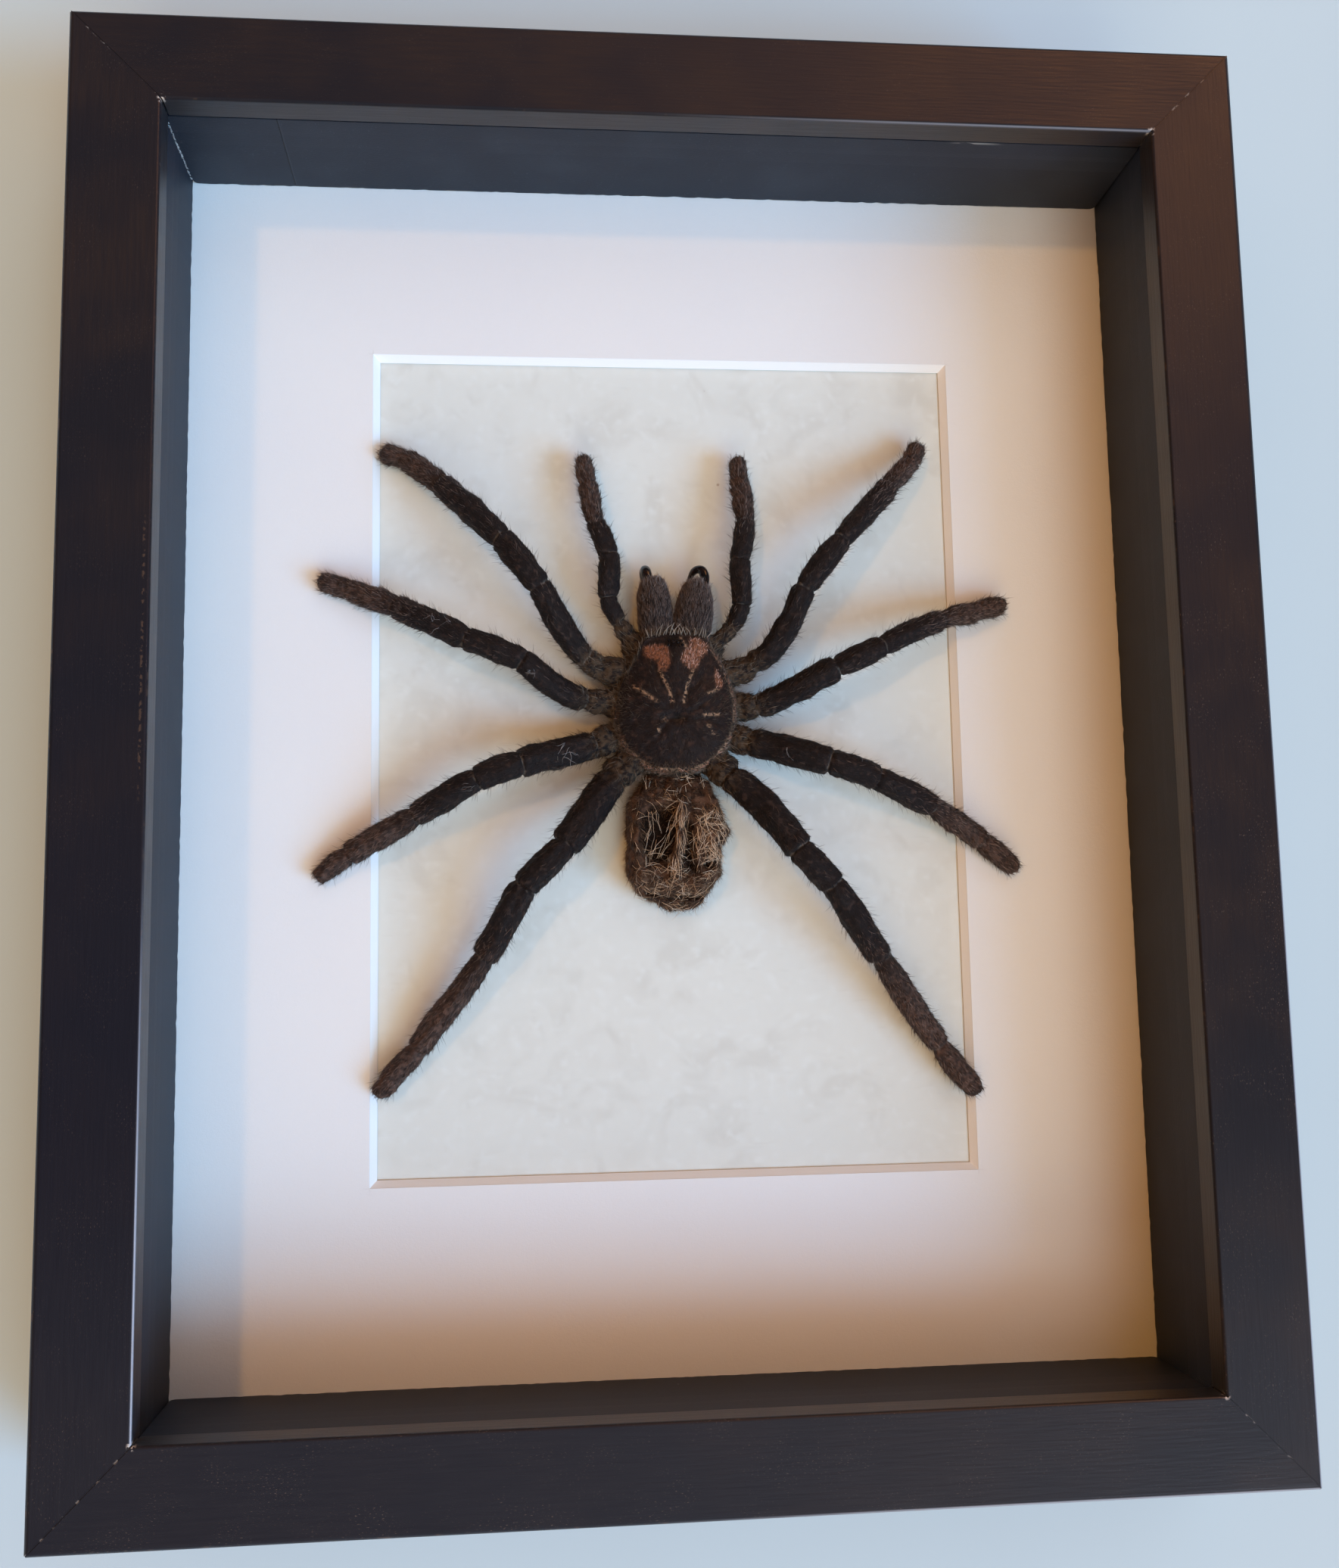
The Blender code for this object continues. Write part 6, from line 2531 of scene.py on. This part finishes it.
        long.make("abdomen_golden_hair", gold, "abdomen_skin")

    def _comb(self, fleece: Fleece, main: float, wander: float, jitter: float,
              gather: float) -> Rule:
        """Comb hairs, and gather them in tufts.

        Args:
            fleece: The hairs, for their source of chance.
            main: The main direction in degrees.
            wander: How far it turns from place to place, in degrees.
            jitter: How far it turns from hair to hair, in degrees.
            gather: How strongly hairs lean to the middle of their tuft.

        Returns:
            A rule that gives each hair's direction.
        """
        def grain(roots: Roots) -> Array:
            """Give each hair's direction."""
            count = len(roots)
            turn = np.radians(main + wander * roughness_at(roots.points, 3.0, 40.0)
                              + fleece.rng.normal(0, jitter, count))
            combed = np.stack([np.cos(turn), np.sin(turn), np.zeros(count)], axis=1)
            middles = roots.points[fleece.rng.choice(count, max(1, count // self.tuft))]
            away = middles[None] - roots.points[:, None]
            nearest = away[np.arange(count), np.linalg.norm(away, axis=2).argmin(axis=1)]
            return combed + nearest * np.array([gather, gather, 0.0])
        return grain

    def _strays(self, long: Fleece) -> None:
        """Lay single pale wavy hairs over the hollow, over the front and beside the stalk.

        Args:
            long: The hairs that they join.
        """
        rng = long.rng
        for centre, spread, count, angle, length in self.strays:
            turn = np.radians(angle + rng.normal(0, 13, count))
            lift = height_above_paper(8.6 - 0.10 * max(0.0, centre[1] + 9.0))
            starts = np.stack([centre[0] + rng.uniform(-1, 1, count) * spread[0],
                               centre[1] + rng.uniform(-1, 1, count) * spread[1],
                               lift + rng.uniform(0, 0.5, count)], axis=1)
            rise = rng.uniform(0.04, 0.22, count)
            heading = unit(np.stack([np.cos(turn), np.sin(turn), rise], axis=1))
            bend = sideways(heading) * rng.normal(0, 0.16, count)[:, None] - UP * 0.18
            wavy = Coat(length, 0.044, (0, 0), 0.0, sections=9, wave=0.035)
            long.spikes(starts, heading, bend, rng.uniform(*length, count), wavy,
                        rng.uniform(0.55, 0.95, count))


@dataclass
class Cobweb:
    """A few dusty threads caught on the limbs."""

    snags: tuple[tuple[Point, float, int, float, float, float], ...] = (
        ((-21.3, 1.4, 13.4), 0.9, 5, 255.0, 3.6, 0.034),
        ((-21.0, -0.3, 13.2), 1.2, 4, 355.0, 3.2, 0.034),
        ((-17.0, -12.0, 14.0), 2.0, 16, 215.0, 1.9, 0.022),
        ((-27.8, 16.2, 14.9), 0.6, 8, 200.0, 1.1, 0.034),
        ((-46.0, 26.2, 14.2), 2.4, 7, 150.0, 2.2, 0.028),
        ((-40.0, -7.0, 15.2), 0.9, 4, 200.0, 1.8, 0.028),
        ((23.4, 0.6, 14.2), 0.2, 2, 262.0, 2.4, 0.036),
        ((38.6, -3.4, 15.3), 0.5, 4, 120.0, 1.4, 0.030))
    seed: int = 801

    def build(self, finishes: Finishes) -> None:
        """Lay the threads.

        A snag is its place, spread, count, direction, length and thickness.

        Args:
            finishes: The specimen's materials.
        """
        threads = Fleece(self.seed)
        rng = threads.rng
        for centre, spread, count, angle, length, radius in self.snags:
            place = np.array(above_paper(*centre)) / MM
            starts = place + rng.uniform(-1, 1, (count, 3)) * np.array([spread, spread * 0.7, 0.3])
            turn = np.radians(angle + rng.normal(0, 32, count))
            rise = rng.normal(0, 0.08, count)
            heading = unit(np.stack([np.cos(turn), np.sin(turn), rise], axis=1))
            bend = sideways(heading) * rng.normal(0, 0.6, count)[:, None] - UP * 0.12
            wavy = Coat((1, 1), radius, (0, 0), 0.0, sections=8, wave=0.10)
            threads.spikes(starts, heading, bend, length * rng.uniform(0.6, 1.25, count), wavy,
                           rng.uniform(0.5, 1.0, count))
        threads.make("cobweb_threads", finishes["cobweb"], "leg_skin")


@dataclass
class Specimen:
    """The dried tarantula."""

    limbs: tuple[Limb, ...] = LIMBS

    def build(self) -> None:
        """Model the body, the limbs and their hair."""
        made = [finish.make() for finish in SPECIMEN_FINISHES]
        finishes = {material.name: material for material in made}
        for part in (Carapace(), Jaws(), Abdomen(), *self.limbs, Cobweb()):
            part.build(finishes)


# ---- Studio --------------------------------------------------------------------------------------

class Role(Enum):
    """What a light is for."""

    FILL = "fill"
    SHEEN = "sheen"


@dataclass
class SoftSun:
    """A broad distant light: a fill on the surfaces, or a sheen only on what is glossy."""

    name: str
    azimuth: float
    elevation: float
    spread: float
    colour: Colour
    role: Role = Role.FILL

    def build(self) -> None:
        """Hang the light, with its colour as what a white surface that faces it would show."""
        lamp = bpy.data.lights.new(self.name, "SUN")
        strongest = max(self.colour)
        lamp.energy = math.pi * strongest
        lamp.color = tuple(part / strongest for part in self.colour)
        lamp.angle = math.radians(self.spread)
        holder = bpy.data.objects.new(self.name, lamp)
        bpy.context.scene.collection.objects.link(holder)
        turn, rise = math.radians(self.azimuth), math.radians(self.elevation)
        level = math.cos(rise)
        away = Vector((math.cos(turn) * level, math.sin(turn) * level, math.sin(rise)))
        holder.rotation_euler = away.to_track_quat("Z", "Y").to_euler()
        holder.visible_glossy = self.role is Role.SHEEN
        holder.visible_diffuse = self.role is Role.FILL


@dataclass
class Studio:
    """Pale floor, soft light, and the camera of the photograph."""

    camera_place: Point = (-29.815, -43.643, 327.758)
    camera_turn: Point = (0.121, -0.094, -0.013)
    nearest: float = 0.01
    lens: float = 35.356
    sensor: float = 36.0
    floor_size: float = 4.0
    floor_drop: float = 0.00015
    ambient: Colour = (0.420, 0.178, 0.050)
    backdrop: Colour = (0.560, 0.640, 0.710)
    lights: tuple[SoftSun, ...] = (
        SoftSun("cool_window", -30.0, 36.0, 32.0, (0.245, 0.614, 1.109)),
        SoftSun("white_window", -60.0, 52.0, 32.0, (0.089, 0.199, 0.251)),
        SoftSun("warm_window", -90.0, 36.0, 32.0, (0.285, 0.232, 0.163)),
        SoftSun("far_window", 60.0, 52.0, 32.0, (0.048, 0.091, 0.125)),
        SoftSun("high_window", -60.0, 72.0, 32.0, (0.172, 0.158, 0.162)),
        SoftSun("ceiling", -60.0, 80.0, 70.0, (0.110, 0.046, 0.018)),
        SoftSun("high_lamp", 147.0, 67.0, 3.0, (0.165, 0.076, 0.018)),
        SoftSun("warm_sheen", 56.0, 40.0, 22.0, (0.20, 0.080, 0.027), Role.SHEEN),
        SoftSun("cool_sheen", -45.0, 42.0, 24.0, (0.10, 0.120, 0.15), Role.SHEEN),
    )

    def build(self) -> None:
        """Set up the floor, the light and the camera."""
        scene = bpy.context.scene
        floor = add(bpy.ops.mesh.primitive_plane_add, "pale_floor", size=self.floor_size,
                    location=(0.0, 0.0, -self.floor_drop))
        settle(floor)
        floor.data.materials.append(PaleFloor().make())
        for light in self.lights:
            light.build()
        scene.world = self._room()
        self._camera(scene)
        scene.view_settings.view_transform = "Standard"

    def _room(self) -> bpy.types.World:
        """Make the soft amber surroundings, which look pale past the floor.

        Returns:
            The world.
        """
        world = bpy.data.worlds.new("soft_room")
        world.use_nodes = True
        tree = world.node_tree
        glow = tree.nodes["Background"]
        glow.inputs["Color"].default_value = (*self.ambient, 1.0)
        backdrop = tree.nodes.new("ShaderNodeBackground")
        backdrop.inputs["Color"].default_value = (*self.backdrop, 1.0)
        path = tree.nodes.new("ShaderNodeLightPath")
        seen = tree.nodes.new("ShaderNodeMixShader")
        tree.links.new(path.outputs["Is Camera Ray"], seen.inputs[0])
        tree.links.new(glow.outputs[0], seen.inputs[1])
        tree.links.new(backdrop.outputs[0], seen.inputs[2])
        tree.links.new(seen.outputs[0], tree.nodes["World Output"].inputs["Surface"])
        world.cycles_visibility.glossy = False
        return world

    def _camera(self, scene: bpy.types.Scene) -> None:
        """Place the camera.

        Args:
            scene: The scene that looks through it.
        """
        camera = bpy.data.cameras.new("photograph")
        camera.sensor_width = self.sensor
        camera.lens = self.lens
        camera.clip_start = self.nearest
        holder = bpy.data.objects.new("photograph", camera)
        scene.collection.objects.link(holder)
        turn = Vector(self.camera_turn)
        holder.matrix_world = (Matrix.Translation(Vector(self.camera_place) * MM)
                               @ Matrix.Rotation(turn.length, 4, turn.normalized()))
        scene.camera = holder


def main() -> None:
    """Load the frame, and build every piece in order."""
    logging.basicConfig(level=logging.INFO, format="%(message)s")
    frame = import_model()
    nodes = frame["nodes"]
    BoxFrame(nodes).build()
    Lining(nodes).build()
    Sheets(nodes).build()
    Fittings(nodes).build()
    Specimen().build()
    Studio().build()
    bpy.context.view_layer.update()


if __name__ == "__main__":
    main()
